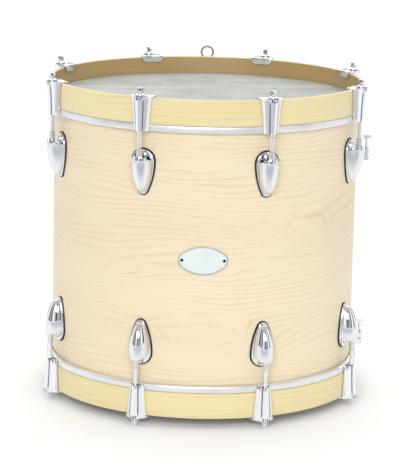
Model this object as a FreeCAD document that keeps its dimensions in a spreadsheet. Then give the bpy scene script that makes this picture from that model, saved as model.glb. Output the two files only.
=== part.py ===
"""Double-headed maple drum with wooden counterhoops, eight claw-and-key tension rods a side.

Millimetres, +Z up, front towards -Y. Every piece is drawn about the drum's middle, with local +X
pointing outwards along a radius, and its Placement lifts it so that the rod heads stand on z = 0.
"""

import FreeCAD, Part
import os
import re

import Sketcher
from FreeCAD import Placement, Rotation, Vector

# Driving sizes: name, value, what it is.
SIZES = [
    ("shell_radius", 200.0, "outside of the shell"),
    ("shell_wall", 6.0, "thickness of the shell's plies"),
    ("shell_height", 360.0, "bearing edge to bearing edge"),
    ("edge_land", 1.0, "flat left on the bearing edge"),
    ("edge_round", 0.8, "chamfer outside the bearing edge"),
    ("film_thick", 0.4, "drum head skin"),
    ("collar_gap", 0.3, "shell to the head's collar"),
    ("flesh_gap", 1.0, "shell to the flesh hoop"),
    ("flesh_wall", 1.2, "wall of the flesh hoop's channel"),
    ("flesh_height", 9.5, "height of the flesh hoop"),
    ("flesh_ease", 0.7, "eased outer corners of the flesh hoop"),
    ("skin_end_gap", 0.6, "skin's edge to the channel's outer wall"),
    ("hoop_gap", 1.2, "shell to the counterhoop"),
    ("hoop_wall", 6.3, "thickness of the counterhoop"),
    ("hoop_height", 32.8, "height of the counterhoop"),
    ("hoop_rise", 23.5, "rim above the bearing edge"),
    ("hoop_round", 1.6, "rounded rim of the counterhoop"),
    ("tension_places", 8, "tension rods on each side"),
    ("first_angle", -67.5, "first tension rod, from +X"),
    ("rod_offset", 6.6, "counterhoop's outside to a rod's axis"),
    ("rod_radius", 2.8, "7/32 in tension rod"),
    ("rod_tip_out", 3.0, "rod's tip beyond the swivel nut"),
    ("flange_radius", 5.9, "rod's flange"),
    ("flange_height", 1.5, "rod's flange"),
    ("cone_height", 1.8, "cone from the flange up to the key square"),
    ("cone_radius", 3.6, "cone's top"),
    ("key_width", 6.3, "key square, across its flats"),
    ("key_height", 6.5, "key square above the cone"),
    ("key_ease", 0.7, "eased corners of the key square"),
    ("washer_thick", 0.8, "washer under a rod's flange"),
    ("washer_radius", 6.4, "washer under a rod's flange"),
    ("washer_hole_gap", 0.3, "washer's hole round the rod"),
    ("claw_lip", 2.0, "claw's plate over the rim"),
    ("claw_gap", 0.2, "counterhoop's outside to the claw"),
    ("claw_overlap", 8.7, "claw's end below the counterhoop's edge"),
    ("claw_roof", 4.0, "solid top of the claw round the rod"),
    ("claw_wall", 1.7, "wall of the hollow claw"),
    ("claw_hole_gap", 0.3, "claw's hole round the rod"),
    ("claw_top_half", 14.5, "half the claw's width at the rim"),
    ("claw_end_half", 10.2, "half the claw's width at its small end"),
    ("claw_side", 3.6, "depth of the claw's sides"),
    ("claw_top_crest", 8.6, "rod's axis to the claw's crest at the rim"),
    ("claw_end_room", 0.4, "rod to the hollow claw's wall at its small end"),
    ("claw_cheek", 1.3, "radius of the claw's cheeks, in half widths of the claw"),
    ("rib_top_half", 6.2, "half the claw's middle rib at the rim"),
    ("rib_end_half", 4.6, "half the claw's middle rib at its small end"),
    ("rib_top_rise", 3.7, "middle rib above its valleys at the rim"),
    ("rib_end_rise", 2.7, "middle rib above its valleys at its small end"),
    ("tongue_half", 15.0, "half the width of the claw's tongue inside the rim"),
    ("tongue_thick", 2.3, "claw's tongue inside the rim"),
    ("tongue_drop", 7.0, "tongue below the rim"),
    ("tongue_gap", 0.9, "counterhoop's inside to the tongue"),
    ("tongue_round", 5.5, "rounded corners of the tongue"),
    ("lug_setback", 57.1, "bearing edge to a lug's widest place"),
    ("lug_half_width", 14.75, "half a lug's width"),
    ("lug_tail_length", 42.1, "widest place to the narrow end"),
    ("lug_tail_radius", 6.5, "rounding of the narrow end"),
    ("lug_flange", 2.2, "thickness of a lug's floor"),
    ("lug_ease", 0.8, "rounded rim of a lug's floor"),
    ("dome_inset", 1.5, "floor's rim outside the dome"),
    ("dome_cover", 6.9, "dome outside a rod's axis"),
    ("dome_nose", 26.0, "dome's long radius towards the hoop"),
    ("lug_wall", 1.8, "wall of the dome"),
    ("web_thick", 3.5, "wall across a lug that the nut pulls on"),
    ("mouth_setback", 0.9, "mouth's edge on the floor, below the widest place"),
    ("mouth_angle", 25.5, "slant of the mouth, in degrees"),
    ("gasket_thick", 1.0, "rubber gasket under a lug"),
    ("gasket_border", 1.5, "gasket showing round a lug"),
    ("nut_wall", 0.9, "wall of the swivel nut's sleeve"),
    ("nut_head_step", 0.65, "swivel nut's head outside its sleeve"),
    ("nut_head_height", 5.9, "swivel nut's head"),
    ("nut_reach", 18.3, "sleeve beyond the web"),
    ("nut_hole_gap", 0.15, "web's hole round the sleeve"),
    ("thread_gap", 0.05, "thread clearance, on the radius"),
    ("retainer_wall", 0.8, "nylon retainer outside its bore"),
    ("retainer_height", 6.5, "nylon retainer below the nut"),
    ("retainer_gap", 0.4, "retainer's bore round the rod"),
    ("lug_screw_high", 7.1, "upper lug screw above the widest place"),
    ("lug_screw_low", 27.9, "lower lug screw below the widest place"),
    ("high_boss", 3.6, "upper screw boss above the floor"),
    ("low_boss", 7.5, "lower screw boss above the floor"),
    ("boss_wall", 1.8, "screw boss outside its screw"),
    ("screw_radius", 2.4, "lug screw"),
    ("screw_head_radius", 4.6, "lug screw's head"),
    ("screw_head_height", 2.8, "lug screw's head"),
    ("screw_hole_gap", 0.3, "clearance round a screw"),
    ("screw_washer_radius", 5.5, "washer inside the shell"),
    ("screw_washer_thick", 1.0, "washer inside the shell"),
    ("seat_gap", 0.12, "flat washer or plate on the curved shell"),
    ("badge_half_length", 31.5, "oval badge"),
    ("badge_half_height", 18.35, "oval badge"),
    ("badge_end_radius", 11.5, "ends of the oval"),
    ("badge_thick", 1.0, "badge's plate"),
    ("bezel_width", 1.7, "badge's metal rim"),
    ("bezel_rise", 0.6, "rim above the plate"),
    ("badge_pin_out", 26.529, "badge pin either side of the front, along the shell"),
    ("badge_pin_radius", 1.0, "badge pin"),
    ("badge_pin_head", 2.0, "badge pin's domed head"),
    ("badge_pin_dome", 0.9, "height of the domed head"),
    ("vent_radius", 4.2, "air vent's bore"),
    ("vent_wall", 0.8, "vent grommet's wall"),
    ("vent_flange", 2.4, "vent grommet's flange"),
    ("eye_offset", 6.5, "counterhoop's outside to the eye bolt's axis"),
    ("eye_rise", 4.5, "ring's centre above the rim"),
    ("eye_ring_radius", 8.25, "centre line of the ring"),
    ("eye_wire_radius", 1.5, "ring's wire"),
    ("eye_stem_radius", 2.0, "eye bolt's stem"),
    ("eye_collar_radius", 4.0, "collar that rests on the block"),
    ("eye_collar_height", 1.6, "collar that rests on the block"),
    ("eye_block_setback", 44.0, "bearing edge to the block's centre"),
    ("eye_block_half", 9.0, "half the block's height"),
    ("eye_block_width", 14.0, "block's width"),
    ("eye_block_wall", 3.4, "block outside the stem"),
    ("eye_nut_radius", 4.2, "lock nut, across its corners, halved"),
    ("eye_nut_height", 4.0, "lock nut"),
    ("eye_tip_out", 3.0, "stem beyond the lock nut"),
    ("plate_half_width", 13.0, "base plate of a block"),
    ("plate_screw_edge", 3.9, "base plate's screws to its ends"),
    ("plate_round", 5.0, "corners of a base plate"),
    ("plate_thick", 3.2, "base plate of a block"),
    ("plate_screw_gap", 0.6, "base plate's screws to the taller block"),
    ("plate_screw_radius", 2.0, "base plate's screws"),
    ("plate_screw_head", 3.8, "head of a base plate's screw"),
    ("plate_screw_head_height", 2.4, "head of a base plate's screw"),
    ("clamp_high_setback", 73.8, "bearing edge to the upper clamp's centre"),
    ("clamp_low_gap", 1.6, "lower clamp's plate to the flesh hoop"),
    ("clamp_cheek", 3.4, "clamp block above and below its bore"),
    ("clamp_half_width", 12.0, "half the clamp block's width"),
    ("clamp_bore_wall", 2.6, "clamp's bore to the shell"),
    ("clamp_bore", 4.0, "radius of the rod that the clamp takes"),
    ("clamp_slit", 1.6, "gap that the clamp screw closes"),
    ("clamp_screw_radius", 1.7, "clamp screw"),
    ("clamp_screw_gap", 0.7, "clamp's bore to its screw"),
    ("clamp_end_wall", 1.5, "clamp block beyond its screw"),
    ("clamp_neck", 7.5, "screw showing above the block"),
    ("wing_height", 9.6, "T head of the clamp screw"),
    ("wing_bar", 3.6, "height of the T head's bar"),
    ("wing_half", 5.4, "half the T head's length"),
    ("wing_thick", 5.0, "T head, across"),
    ("wing_round", 1.2, "rounded ends of the T head"),
]

# Places and sizes that follow from them, measured from the drum's middle or its axis.
LEVELS = [
    ("edge", "shell_height / 2"),
    ("rim", "edge + hoop_rise"),
    ("hoop_seat", "rim - hoop_height"),
    ("hoop_inner", "shell_radius + hoop_gap"),
    ("hoop_outer", "hoop_inner + hoop_wall"),
    ("flesh_end", "hoop_seat - flesh_height"),
    ("flesh_middle", "hoop_seat - flesh_height / 2"),
    ("flesh_inner", "shell_radius + flesh_gap"),
    ("collar_inner", "shell_radius + collar_gap"),
    ("collar_outer", "collar_inner + film_thick"),
    ("shell_inner", "shell_radius - shell_wall"),
    ("land_inner", "shell_radius - edge_round - edge_land"),
    ("bevel_start", "edge - (land_inner - shell_inner)"),
    ("skin_round", "edge_round + film_thick"),
    ("rod_circle", "hoop_outer + rod_offset"),
    ("claw_top", "rim + claw_lip"),
    ("claw_end", "hoop_seat - claw_overlap"),
    ("claw_back", "hoop_outer + claw_gap"),
    ("claw_end_crest", "rod_radius + claw_end_room + claw_wall"),
    ("tongue_outer", "hoop_inner - tongue_gap"),
    ("flange_seat", "claw_top + washer_thick"),
    ("key_seat", "flange_seat + flange_height + cone_height"),
    ("rod_top", "key_seat + key_height"),
    ("lug_middle", "edge - lug_setback"),
    ("lug_seat", "shell_radius + gasket_thick"),
    ("lug_floor", "lug_seat + lug_flange"),
    ("dome_depth", "rod_circle + dome_cover - lug_floor"),
    ("dome_half_width", "lug_half_width - dome_inset"),
    ("dome_tail", "lug_tail_length - dome_inset"),
    ("tail_centre", "lug_middle - lug_tail_length + lug_tail_radius"),
    ("tail_span", "lug_middle - tail_centre"),
    ("side_radius", "(lug_half_width ^ 2 - lug_tail_radius ^ 2 + tail_span ^ 2)"
     " / (2 * (lug_half_width - lug_tail_radius))"),
    ("tail_across", "(side_radius - lug_half_width) / (side_radius - lug_tail_radius)"),
    ("tail_along", "tail_span / (side_radius - lug_tail_radius)"),
    ("mouth_edge", "lug_middle - mouth_setback"),
    ("nut_radius", "rod_radius + thread_gap + nut_wall"),
    ("nut_head_radius", "nut_radius + nut_head_step"),
    ("nut_shoulder", "lug_middle - web_thick / 2"),
    ("nut_foot", "nut_shoulder - nut_head_height"),
    ("rod_tip", "nut_foot - rod_tip_out"),
    ("retainer_half", "rod_radius + retainer_gap + retainer_wall"),
    ("boss_radius", "screw_radius + boss_wall"),
    ("lug_screw_high_at", "lug_middle + lug_screw_high"),
    ("lug_screw_low_at", "lug_middle - lug_screw_low"),
    ("screw_seat", "shell_inner - seat_gap"),
    ("badge_side_radius", "(badge_half_length ^ 2 + badge_half_height ^ 2"
     " - 2 * badge_half_length * badge_end_radius) / (2 * (badge_half_height - badge_end_radius))"),
    ("badge_across", "(badge_half_length - badge_end_radius) / (badge_side_radius - badge_end_radius)"),
    ("badge_along", "(badge_side_radius - badge_half_height) / (badge_side_radius - badge_end_radius)"),
    ("badge_face", "shell_radius + badge_thick"),
    ("badge_pin_angle", "badge_pin_out / shell_radius * 180 / pi"),
    ("eye_circle", "hoop_outer + eye_offset"),
    ("eye_height", "rim + eye_rise"),
    ("eye_block_height", "edge - eye_block_setback"),
    ("eye_block_top", "eye_block_height + eye_block_half"),
    ("eye_block_foot", "eye_block_height - eye_block_half"),
    ("eye_nut_foot", "eye_block_foot - eye_nut_height"),
    ("clamp_half_height", "clamp_bore + clamp_cheek"),
    ("plate_screw_out", "max(eye_block_half; clamp_half_height)"
     " + plate_screw_radius + plate_screw_gap"),
    ("plate_half_height", "plate_screw_out + plate_screw_edge"),
    ("clamp_high", "edge - clamp_high_setback"),
    ("clamp_low", "-(flesh_end - clamp_low_gap - plate_half_height)"),
    ("clamp_bore_at", "shell_radius + clamp_bore_wall + clamp_bore"),
    ("clamp_screw_at", "clamp_bore_at + clamp_bore + clamp_screw_gap + clamp_screw_radius"),
    ("clamp_face", "clamp_screw_at + clamp_screw_radius + clamp_end_wall"),
]

FRONT, REAR, RIGHT = -90.0, 90.0, 0.0
SIDES = {"batter": 1, "resonant": -1}

doc = FreeCAD.newDocument("hoop_drum")
sheet = doc.addObject("Spreadsheet::Sheet", "Sizes")
for row, (alias, number, meaning) in enumerate(SIZES, start=1):
    sheet.set("A%d" % row, alias)
    sheet.set("B%d" % row, str(number))
    sheet.set("C%d" % row, meaning)
    sheet.setAlias("B%d" % row, alias)
doc.recompute()

levels = doc.addObject("App::VarSet", "Levels")
HOMES = {alias: "Sizes." + alias for alias, _, _ in SIZES}
HOMES.update({name: "Levels." + name for name, _ in LEVELS})


def sized(expression):
    """An expression in plain size names, with each name given its home in the document."""
    return re.sub(r"[a-z][a-z_]*", lambda word: HOMES.get(word.group(), word.group()), expression)


def value(expression):
    """The number that an expression gives with the sizes as they are now."""
    return float(sheet.evalExpression(sized(expression)))


def bind(obj, **expressions):
    """Binds properties to expressions; a double underscore stands for the dot of a path."""
    for path, expression in expressions.items():
        obj.setExpression(path.replace("__", "."), sized(expression))


for level, formula in LEVELS:
    levels.addProperty("App::PropertyFloat", level)
    bind(levels, **{level: formula})
    doc.recompute()


# ---------------------------------------------------------------- sketches and features


def new_body(label, angle=0.0, side=1):
    """A body placed at an angle round the drum, turned over for the resonant side."""
    body = doc.addObject("PartDesign::Body", label)
    body.Label = label
    body.AllowCompound = True
    turned_over = Rotation(Vector(1, 0, 0), 0 if side > 0 else 180)
    body.Placement = Placement(Vector(), Rotation(Vector(0, 0, 1), angle) * turned_over)
    bind(body, Placement__Base__z="rod_top")
    return body


def origin_item(body, role):
    return next(item for item in body.Origin.OriginFeatures if item.Role == role)


def new_sketch(body, plane, right="0", up="0", out="0", turn=0.0):
    """A sketch on an origin plane, shifted within and off it, and turned about its own upright."""
    sketch = body.newObject("Sketcher::SketchObject", body.Name + "_sketch")
    sketch.AttachmentSupport = [(origin_item(body, plane), "")]
    sketch.MapMode = "FlatFace"
    sketch.AttachmentOffset = Placement(Vector(), Rotation(Vector(0, 1, 0), turn))
    bind(sketch, AttachmentOffset__Base__x=right, AttachmentOffset__Base__y=up,
         AttachmentOffset__Base__z=out)
    return sketch


def fix_point(sketch, geometry, point, across, along):
    """Holds one point of a sketch at two expressions."""
    for kind, expression in (("DistanceX", across), ("DistanceY", along)):
        index = sketch.addConstraint(
            Sketcher.Constraint(kind, -1, 1, geometry, point, value(expression)))
        sketch.setExpression("Constraints[%d]" % index, sized(expression))


def fix_radius(sketch, geometry, expression):
    index = sketch.addConstraint(Sketcher.Constraint("Radius", geometry, value(expression)))
    sketch.setExpression("Constraints[%d]" % index, sized(expression))


def arc_between(start, end, radius):
    """The arc of under half a turn that runs anticlockwise from start to end."""
    chord = end - start
    height = (radius ** 2 - (chord.Length / 2) ** 2) ** 0.5
    left = Vector(-chord.y, chord.x, 0).normalize()
    centre = (start + end) / 2 + left * height
    middle = centre - left * radius
    return Part.Arc(start, middle, end)


def outline(sketch, corners):
    """Draws a closed outline, anticlockwise, through corners (across, along).

    A corner (across, along, radius) is reached by an arc that bulges outwards.
    """
    points = [Vector(value(corner[0]), value(corner[1]), 0) for corner in corners]
    first = sketch.GeometryCount
    count = len(corners)
    for index, corner in enumerate(corners):
        start, end = points[index - 1], points[index]
        if len(corner) == 3:
            sketch.addGeometry(arc_between(start, end, value(corner[2])), False)
        else:
            sketch.addGeometry(Part.LineSegment(start, end), False)
    for index, corner in enumerate(corners):
        following = first + (index + 1) % count
        sketch.addConstraint(Sketcher.Constraint("Coincident", first + index, 2, following, 1))
        fix_point(sketch, first + index, 2, corner[0], corner[1])
        if len(corner) == 3:
            fix_radius(sketch, first + index, corner[2])
    return sketch


def circle(sketch, across, along, radius):
    index = sketch.addGeometry(
        Part.Circle(Vector(value(across), value(along), 0), Vector(0, 0, 1), value(radius)), False)
    fix_point(sketch, index, 3, across, along)
    fix_radius(sketch, index, radius)
    return sketch


def box_outline(sketch, left, right, bottom, top):
    return outline(sketch, [(left, bottom), (right, bottom), (right, top), (left, top)])


def round_box_outline(sketch, half_width, half_height, radius):
    """A rectangle about the sketch's origin with rounded corners."""
    inner_x, inner_y = half_width + " - " + radius, half_height + " - " + radius
    return outline(sketch, [
        (inner_x, "-" + half_height),
        (half_width, "-(" + inner_y + ")", radius),
        (half_width, inner_y),
        (inner_x, half_height, radius),
        ("-(" + inner_x + ")", half_height),
        ("-" + half_width, inner_y, radius),
        ("-" + half_width, "-(" + inner_y + ")"),
        ("-(" + inner_x + ")", "-" + half_height, radius),
    ])


def pad(body, sketch, length, both_ways=False):
    feature = body.newObject("PartDesign::Pad", body.Name + "_pad")
    feature.Profile = sketch
    feature.SideType = "Symmetric" if both_ways else "One side"
    bind(feature, Length=length)
    return feature


def pocket(body, sketch, length, both_ways=False):
    """Cuts along the sketch's normal, or both ways from it, and checks that something was cut."""
    doc.recompute()
    before = body.Shape.Volume
    feature = body.newObject("PartDesign::Pocket", body.Name + "_pocket")
    feature.Profile = sketch
    feature.SideType = "Symmetric" if both_ways else "One side"
    feature.Reversed = not both_ways
    bind(feature, Length=length)
    doc.recompute()
    if not body.Shape.Volume < before:
        raise RuntimeError(body.Label + ": a pocket cuts nothing")
    return feature


def revolve(body, sketch, kind="Revolution", axis="V_Axis"):
    """A full turn about the sketch's upright, or about its level axis."""
    feature = body.newObject("PartDesign::" + kind, body.Name + "_turned")
    feature.Profile = sketch
    feature.ReferenceAxis = (sketch, [axis])
    feature.Angle = 360
    return feature


def loft(body, kind, low_sketch, high_sketch):
    feature = body.newObject("PartDesign::" + kind, body.Name + "_loft")
    feature.Profile = low_sketch
    feature.Sections = [high_sketch]
    feature.Ruled = True
    return feature


def half_egg(body, kind, towards, centre, length, width, depth):
    """Half of an egg that lies on a lug's floor: its front half, above or below its centre."""
    egg = body.newObject("PartDesign::" + kind, body.Name + "_egg")
    egg.AttachmentSupport = [(origin_item(body, "XY_Plane"), "")]
    egg.MapMode = "FlatFace"
    egg.AttachmentOffset = Placement(Vector(), Rotation(Vector(0, 0, 1), -90))
    egg.Angle1, egg.Angle2 = (0, 90) if towards == "hoop" else (-90, 0)
    egg.Angle3 = 180
    bind(egg, AttachmentOffset__Base__x="lug_floor", AttachmentOffset__Base__z=centre,
         Radius1=length, Radius2=width, Radius3=depth)
    return egg


def round_edges(body, radius, picked):
    """Rounds the edges of the body so far for which picked(edge) holds."""
    doc.recompute()
    base = body.Tip
    names = ["Edge%d" % n for n, edge in enumerate(base.Shape.Edges, start=1) if picked(edge)]
    if not names:
        raise RuntimeError(body.Label + ": no edge to round")
    feature = body.newObject("PartDesign::Fillet", body.Name + "_round")
    feature.Base = (base, names)
    bind(feature, Radius=radius)
    return feature


def lies_at(edge, direction, position):
    """Whether an edge lies in the plane across X, Y or Z at that position."""
    box = edge.BoundBox
    low, high = getattr(box, direction + "Min"), getattr(box, direction + "Max")
    return abs(low - position) < 1e-4 and abs(high - position) < 1e-4


def repeat_round(body, both_sides=False):
    """Repeats the whole body at each tension rod, on one side of the drum or on both."""
    if both_sides:
        mirror = body.newObject("PartDesign::Mirrored", body.Name + "_mirror")
        mirror.TransformMode = "Whole shape"
        mirror.MirrorPlane = (origin_item(body, "XY_Plane"), [""])
        body.Tip = mirror
    ring = body.newObject("PartDesign::PolarPattern", body.Name + "_ring")
    ring.TransformMode = "Whole shape"
    ring.Axis = (origin_item(body, "Z_Axis"), [""])
    ring.Angle = 360
    bind(ring, Occurrences="tension_places")
    body.Tip = ring


def places():
    """Number and angle of each tension rod, anticlockwise from above."""
    count = int(value("tension_places"))
    step = 360.0 / count
    return [(n + 1, value("first_angle") + n * step) for n in range(count)]


# ---------------------------------------------------------------- shell and heads


def radial_holes(body, angle, centres, radius, repeated=False):
    """Drills the shell from its axis outwards at (across, along) centres."""
    sketch = new_sketch(body, "YZ_Plane", turn=angle)
    for across, along in centres:
        circle(sketch, across, along, radius)
    hole = pocket(body, sketch, "shell_radius + shell_wall")
    if repeated:
        ring = body.newObject("PartDesign::PolarPattern", body.Name + "_ring")
        ring.Originals = [hole]
        ring.Axis = (origin_item(body, "Z_Axis"), [""])
        ring.Angle = 360
        bind(ring, Occurrences="tension_places")
        body.Tip = ring


def make_shell():
    body = new_body("shell")
    revolve(body, outline(new_sketch(body, "XZ_Plane"), [
        ("shell_inner", "-bevel_start"),
        ("land_inner", "-edge"),
        ("shell_radius - edge_round", "-edge"),
        ("shell_radius", "-(edge - edge_round)"),
        ("shell_radius", "edge - edge_round"),
        ("shell_radius - edge_round", "edge"),
        ("land_inner", "edge"),
        ("shell_inner", "bevel_start"),
    ]))
    lug_screws = [("0", sign + at) for sign in ("", "-")
                  for at in ("lug_screw_high_at", "lug_screw_low_at")]
    radial_holes(body, value("first_angle"), lug_screws, "screw_radius + screw_hole_gap", True)
    for plate_at, angle in (("clamp_high", RIGHT), ("clamp_low", RIGHT), ("eye_block_height", REAR)):
        holes = [("0", plate_at + sign + "plate_screw_out") for sign in (" + ", " - ")]
        radial_holes(body, angle, holes, "plate_screw_radius + screw_hole_gap")
    for sign in (1, -1):
        angle = FRONT + sign * value("badge_pin_angle")
        radial_holes(body, angle, [("0", "0")], "badge_pin_radius + thread_gap")
    radial_holes(body, REAR, [("0", "0")], "vent_radius + vent_wall + thread_gap")


def make_head(side):
    """The skin, with its collar turned out into the flesh hoop's channel."""
    body = new_body(side + "_skin", side=SIDES[side])
    revolve(body, outline(new_sketch(body, "XZ_Plane"), [
        ("0", "edge"),
        ("collar_inner - edge_round", "edge"),
        ("collar_inner", "edge - edge_round"),
        ("collar_inner", "flesh_middle - film_thick / 2"),
        ("hoop_outer - flesh_wall - skin_end_gap", "flesh_middle - film_thick / 2"),
        ("hoop_outer - flesh_wall - skin_end_gap", "flesh_middle + film_thick / 2"),
        ("collar_outer", "flesh_middle + film_thick / 2"),
        ("collar_outer", "edge + film_thick - skin_round"),
        ("collar_outer - skin_round", "edge + film_thick", "skin_round"),
        ("0", "edge + film_thick"),
    ]))


def make_flesh_hoop(side):
    """Aluminium channel, open inwards, that carries the skin."""
    body = new_body(side + "_flesh_hoop", side=SIDES[side])
    revolve(body, outline(new_sketch(body, "XZ_Plane"), [
        ("flesh_inner", "flesh_end"),
        ("hoop_outer - flesh_ease", "flesh_end"),
        ("hoop_outer", "flesh_end + flesh_ease", "flesh_ease"),
        ("hoop_outer", "hoop_seat - flesh_ease"),
        ("hoop_outer - flesh_ease", "hoop_seat", "flesh_ease"),
        ("flesh_inner", "hoop_seat"),
        ("flesh_inner", "hoop_seat - flesh_wall"),
        ("hoop_outer - flesh_wall", "hoop_seat - flesh_wall"),
        ("hoop_outer - flesh_wall", "flesh_end + flesh_wall"),
        ("flesh_inner", "flesh_end + flesh_wall"),
    ]))


def make_counterhoop(side):
    body = new_body(side + "_counterhoop", side=SIDES[side])
    revolve(body, outline(new_sketch(body, "XZ_Plane"), [
        ("hoop_inner", "hoop_seat"),
        ("hoop_outer", "hoop_seat"),
        ("hoop_outer", "rim - hoop_round"),
        ("hoop_outer - hoop_round", "rim", "hoop_round"),
        ("hoop_inner + hoop_round", "rim"),
        ("hoop_inner", "rim - hoop_round", "hoop_round"),
    ]))


# ---------------------------------------------------------------- tension fittings


def claw_section(body, level, half, crest, rib_half, rib_rise):
    """A claw's outline from above: flat sides, two rounded cheeks and a round middle rib."""
    valley = "rod_circle + %s - %s" % (crest, rib_rise)
    side_at = "claw_back + claw_side"
    rib_radius = "(%s ^ 2 + %s ^ 2) / (2 * %s)" % (rib_half, rib_rise, rib_rise)
    cheek_radius = half + " * claw_cheek"
    return outline(new_sketch(body, "XY_Plane", out=level), [
        ("claw_back", "-" + half),
        (side_at, "-" + half),
        (valley, "-" + rib_half, cheek_radius),
        ("rod_circle + " + crest, "0", rib_radius),
        (valley, rib_half, rib_radius),
        (side_at, half, cheek_radius),
        ("claw_back", half),
    ])


def claw_hollow(body, level, half, crest, rib_half, rib_rise):
    """The hollow inside that outline, in straight lines, open towards the counterhoop."""
    open_at, side_at = "claw_back - claw_wall", "claw_back + claw_side - claw_wall / 2"
    side_half = "(%s - claw_wall)" % half
    valley = "rod_circle + %s - %s - claw_wall" % (crest, rib_rise)
    valley_half = "(%s - claw_wall / 3)" % rib_half
    ridge = "rod_circle + %s - claw_wall" % crest
    ridge_half = "%s / 3" % rib_half
    return outline(new_sketch(body, "XY_Plane", out=level), [
        (open_at, "-" + side_half),
        (side_at, "-" + side_half),
        (valley, "-" + valley_half),
        (ridge, "-" + ridge_half),
        (ridge, ridge_half),
        (valley, valley_half),
        (side_at, side_half),
        (open_at, side_half),
    ])


def make_claws(side):
    """Eight hollow claws that hook over the rim, each with a tongue inside it."""
    body = new_body(side + "_claws", value("first_angle"), SIDES[side])
    at_end = ("claw_end_half", "claw_end_crest", "rib_end_half", "rib_end_rise")
    at_top = ("claw_top_half", "claw_top_crest", "rib_top_half", "rib_top_rise")
    loft(body, "AdditiveLoft", claw_section(body, "claw_end", *at_end),
         claw_section(body, "claw_top", *at_top))
    loft(body, "SubtractiveLoft", claw_hollow(body, "claw_end - claw_wall", *at_end),
         claw_hollow(body, "claw_top - claw_roof", *at_top))
    plate = new_sketch(body, "XY_Plane", out="rim")
    box_outline(plate, "tongue_outer - tongue_thick / 2", "claw_back + claw_side",
                "-claw_top_half", "claw_top_half")
    pad(body, plate, "claw_lip")
    tongue = new_sketch(body, "YZ_Plane", out="tongue_outer - tongue_thick")
    outline(tongue, [
        ("-tongue_half + tongue_round", "rim - tongue_drop", "tongue_round"),
        ("tongue_half - tongue_round", "rim - tongue_drop"),
        ("tongue_half", "rim - tongue_drop + tongue_round", "tongue_round"),
        ("tongue_half", "claw_top - claw_lip / 2"),
        ("tongue_half - claw_lip / 2", "claw_top", "claw_lip / 2"),
        ("-tongue_half + claw_lip / 2", "claw_top"),
        ("-tongue_half", "claw_top - claw_lip / 2", "claw_lip / 2"),
        ("-tongue_half", "rim - tongue_drop + tongue_round"),
    ])
    pad(body, tongue, "tongue_thick")
    hole = circle(new_sketch(body, "XY_Plane", out="claw_end"), "rod_circle", "0",
                  "rod_radius + claw_hole_gap")
    pocket(body, hole, "claw_top - claw_end + claw_lip")
    repeat_round(body)


def make_rod_washers(side):
    body = new_body(side + "_rod_washers", value("first_angle"), SIDES[side])
    ring = new_sketch(body, "XY_Plane", out="claw_top")
    circle(ring, "rod_circle", "0", "washer_radius")
    circle(ring, "rod_circle", "0", "rod_radius + washer_hole_gap")
    pad(body, ring, "washer_thick")
    repeat_round(body)


def make_rod(side, number, angle):
    """A tension rod: shank, flange, cone and key square."""
    body = new_body("%s_tension_rod_%d" % (side, number), angle, SIDES[side])
    revolve(body, outline(new_sketch(body, "XZ_Plane", right="rod_circle"), [
        ("0", "rod_tip"),
        ("rod_radius - key_ease", "rod_tip"),
        ("rod_radius", "rod_tip + key_ease"),
        ("rod_radius", "flange_seat"),
        ("flange_radius", "flange_seat"),
        ("flange_radius", "flange_seat + flange_height"),
        ("cone_radius", "key_seat"),
        ("0", "key_seat"),
    ]))
    square = new_sketch(body, "XY_Plane", right="rod_circle", out="key_seat")
    round_box_outline(square, "key_width / 2", "key_width / 2", "key_ease")
    pad(body, square, "key_height")
    key_end = value("rod_top")
    round_edges(body, "key_ease", lambda edge: lies_at(edge, "Z", key_end))


def make_swivel_nuts():
    """Brass nuts whose heads pull against the web inside each lug."""
    body = new_body("swivel_nuts", value("first_angle"))
    revolve(body, outline(new_sketch(body, "XZ_Plane", right="rod_circle"), [
        ("rod_radius + thread_gap", "nut_foot"),
        ("nut_head_radius", "nut_foot"),
        ("nut_head_radius", "nut_shoulder"),
        ("nut_radius", "nut_shoulder"),
        ("nut_radius", "nut_shoulder + nut_reach - key_ease / 2"),
        ("nut_radius - key_ease / 2", "nut_shoulder + nut_reach"),
        ("rod_radius + thread_gap", "nut_shoulder + nut_reach"),
    ]))
    repeat_round(body, both_sides=True)


def make_nut_retainers():
    """Nylon blocks on each lug's floor that keep the nuts from dropping into the lugs."""
    body = new_body("nut_retainers", value("first_angle"))
    block = new_sketch(body, "XY_Plane", out="nut_foot - retainer_height")
    outline(block, [
        ("lug_floor", "-retainer_half"),
        ("rod_circle", "-retainer_half"),
        ("rod_circle + retainer_half", "0", "retainer_half"),
        ("rod_circle", "retainer_half", "retainer_half"),
        ("lug_floor", "retainer_half"),
    ])
    circle(block, "rod_circle", "0", "rod_radius + retainer_gap")
    pad(body, block, "retainer_height")
    repeat_round(body, both_sides=True)


def egg_outline(sketch, border):
    """A lug's outline on the shell: round towards the hoop, narrow at the other end."""
    width = "(lug_half_width + %s)" % border
    side = "side_radius + " + border
    tail = "lug_tail_radius + " + border
    across = "(%s) * tail_across" % tail
    along = "tail_centre - (%s) * tail_along" % tail
    return outline(sketch, [
        (width, "lug_middle", side),
        ("0", "lug_middle + " + width, width),
        ("-" + width, "lug_middle", width),
        ("-" + across, along, side),
        (across, along, tail),
    ])


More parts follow.
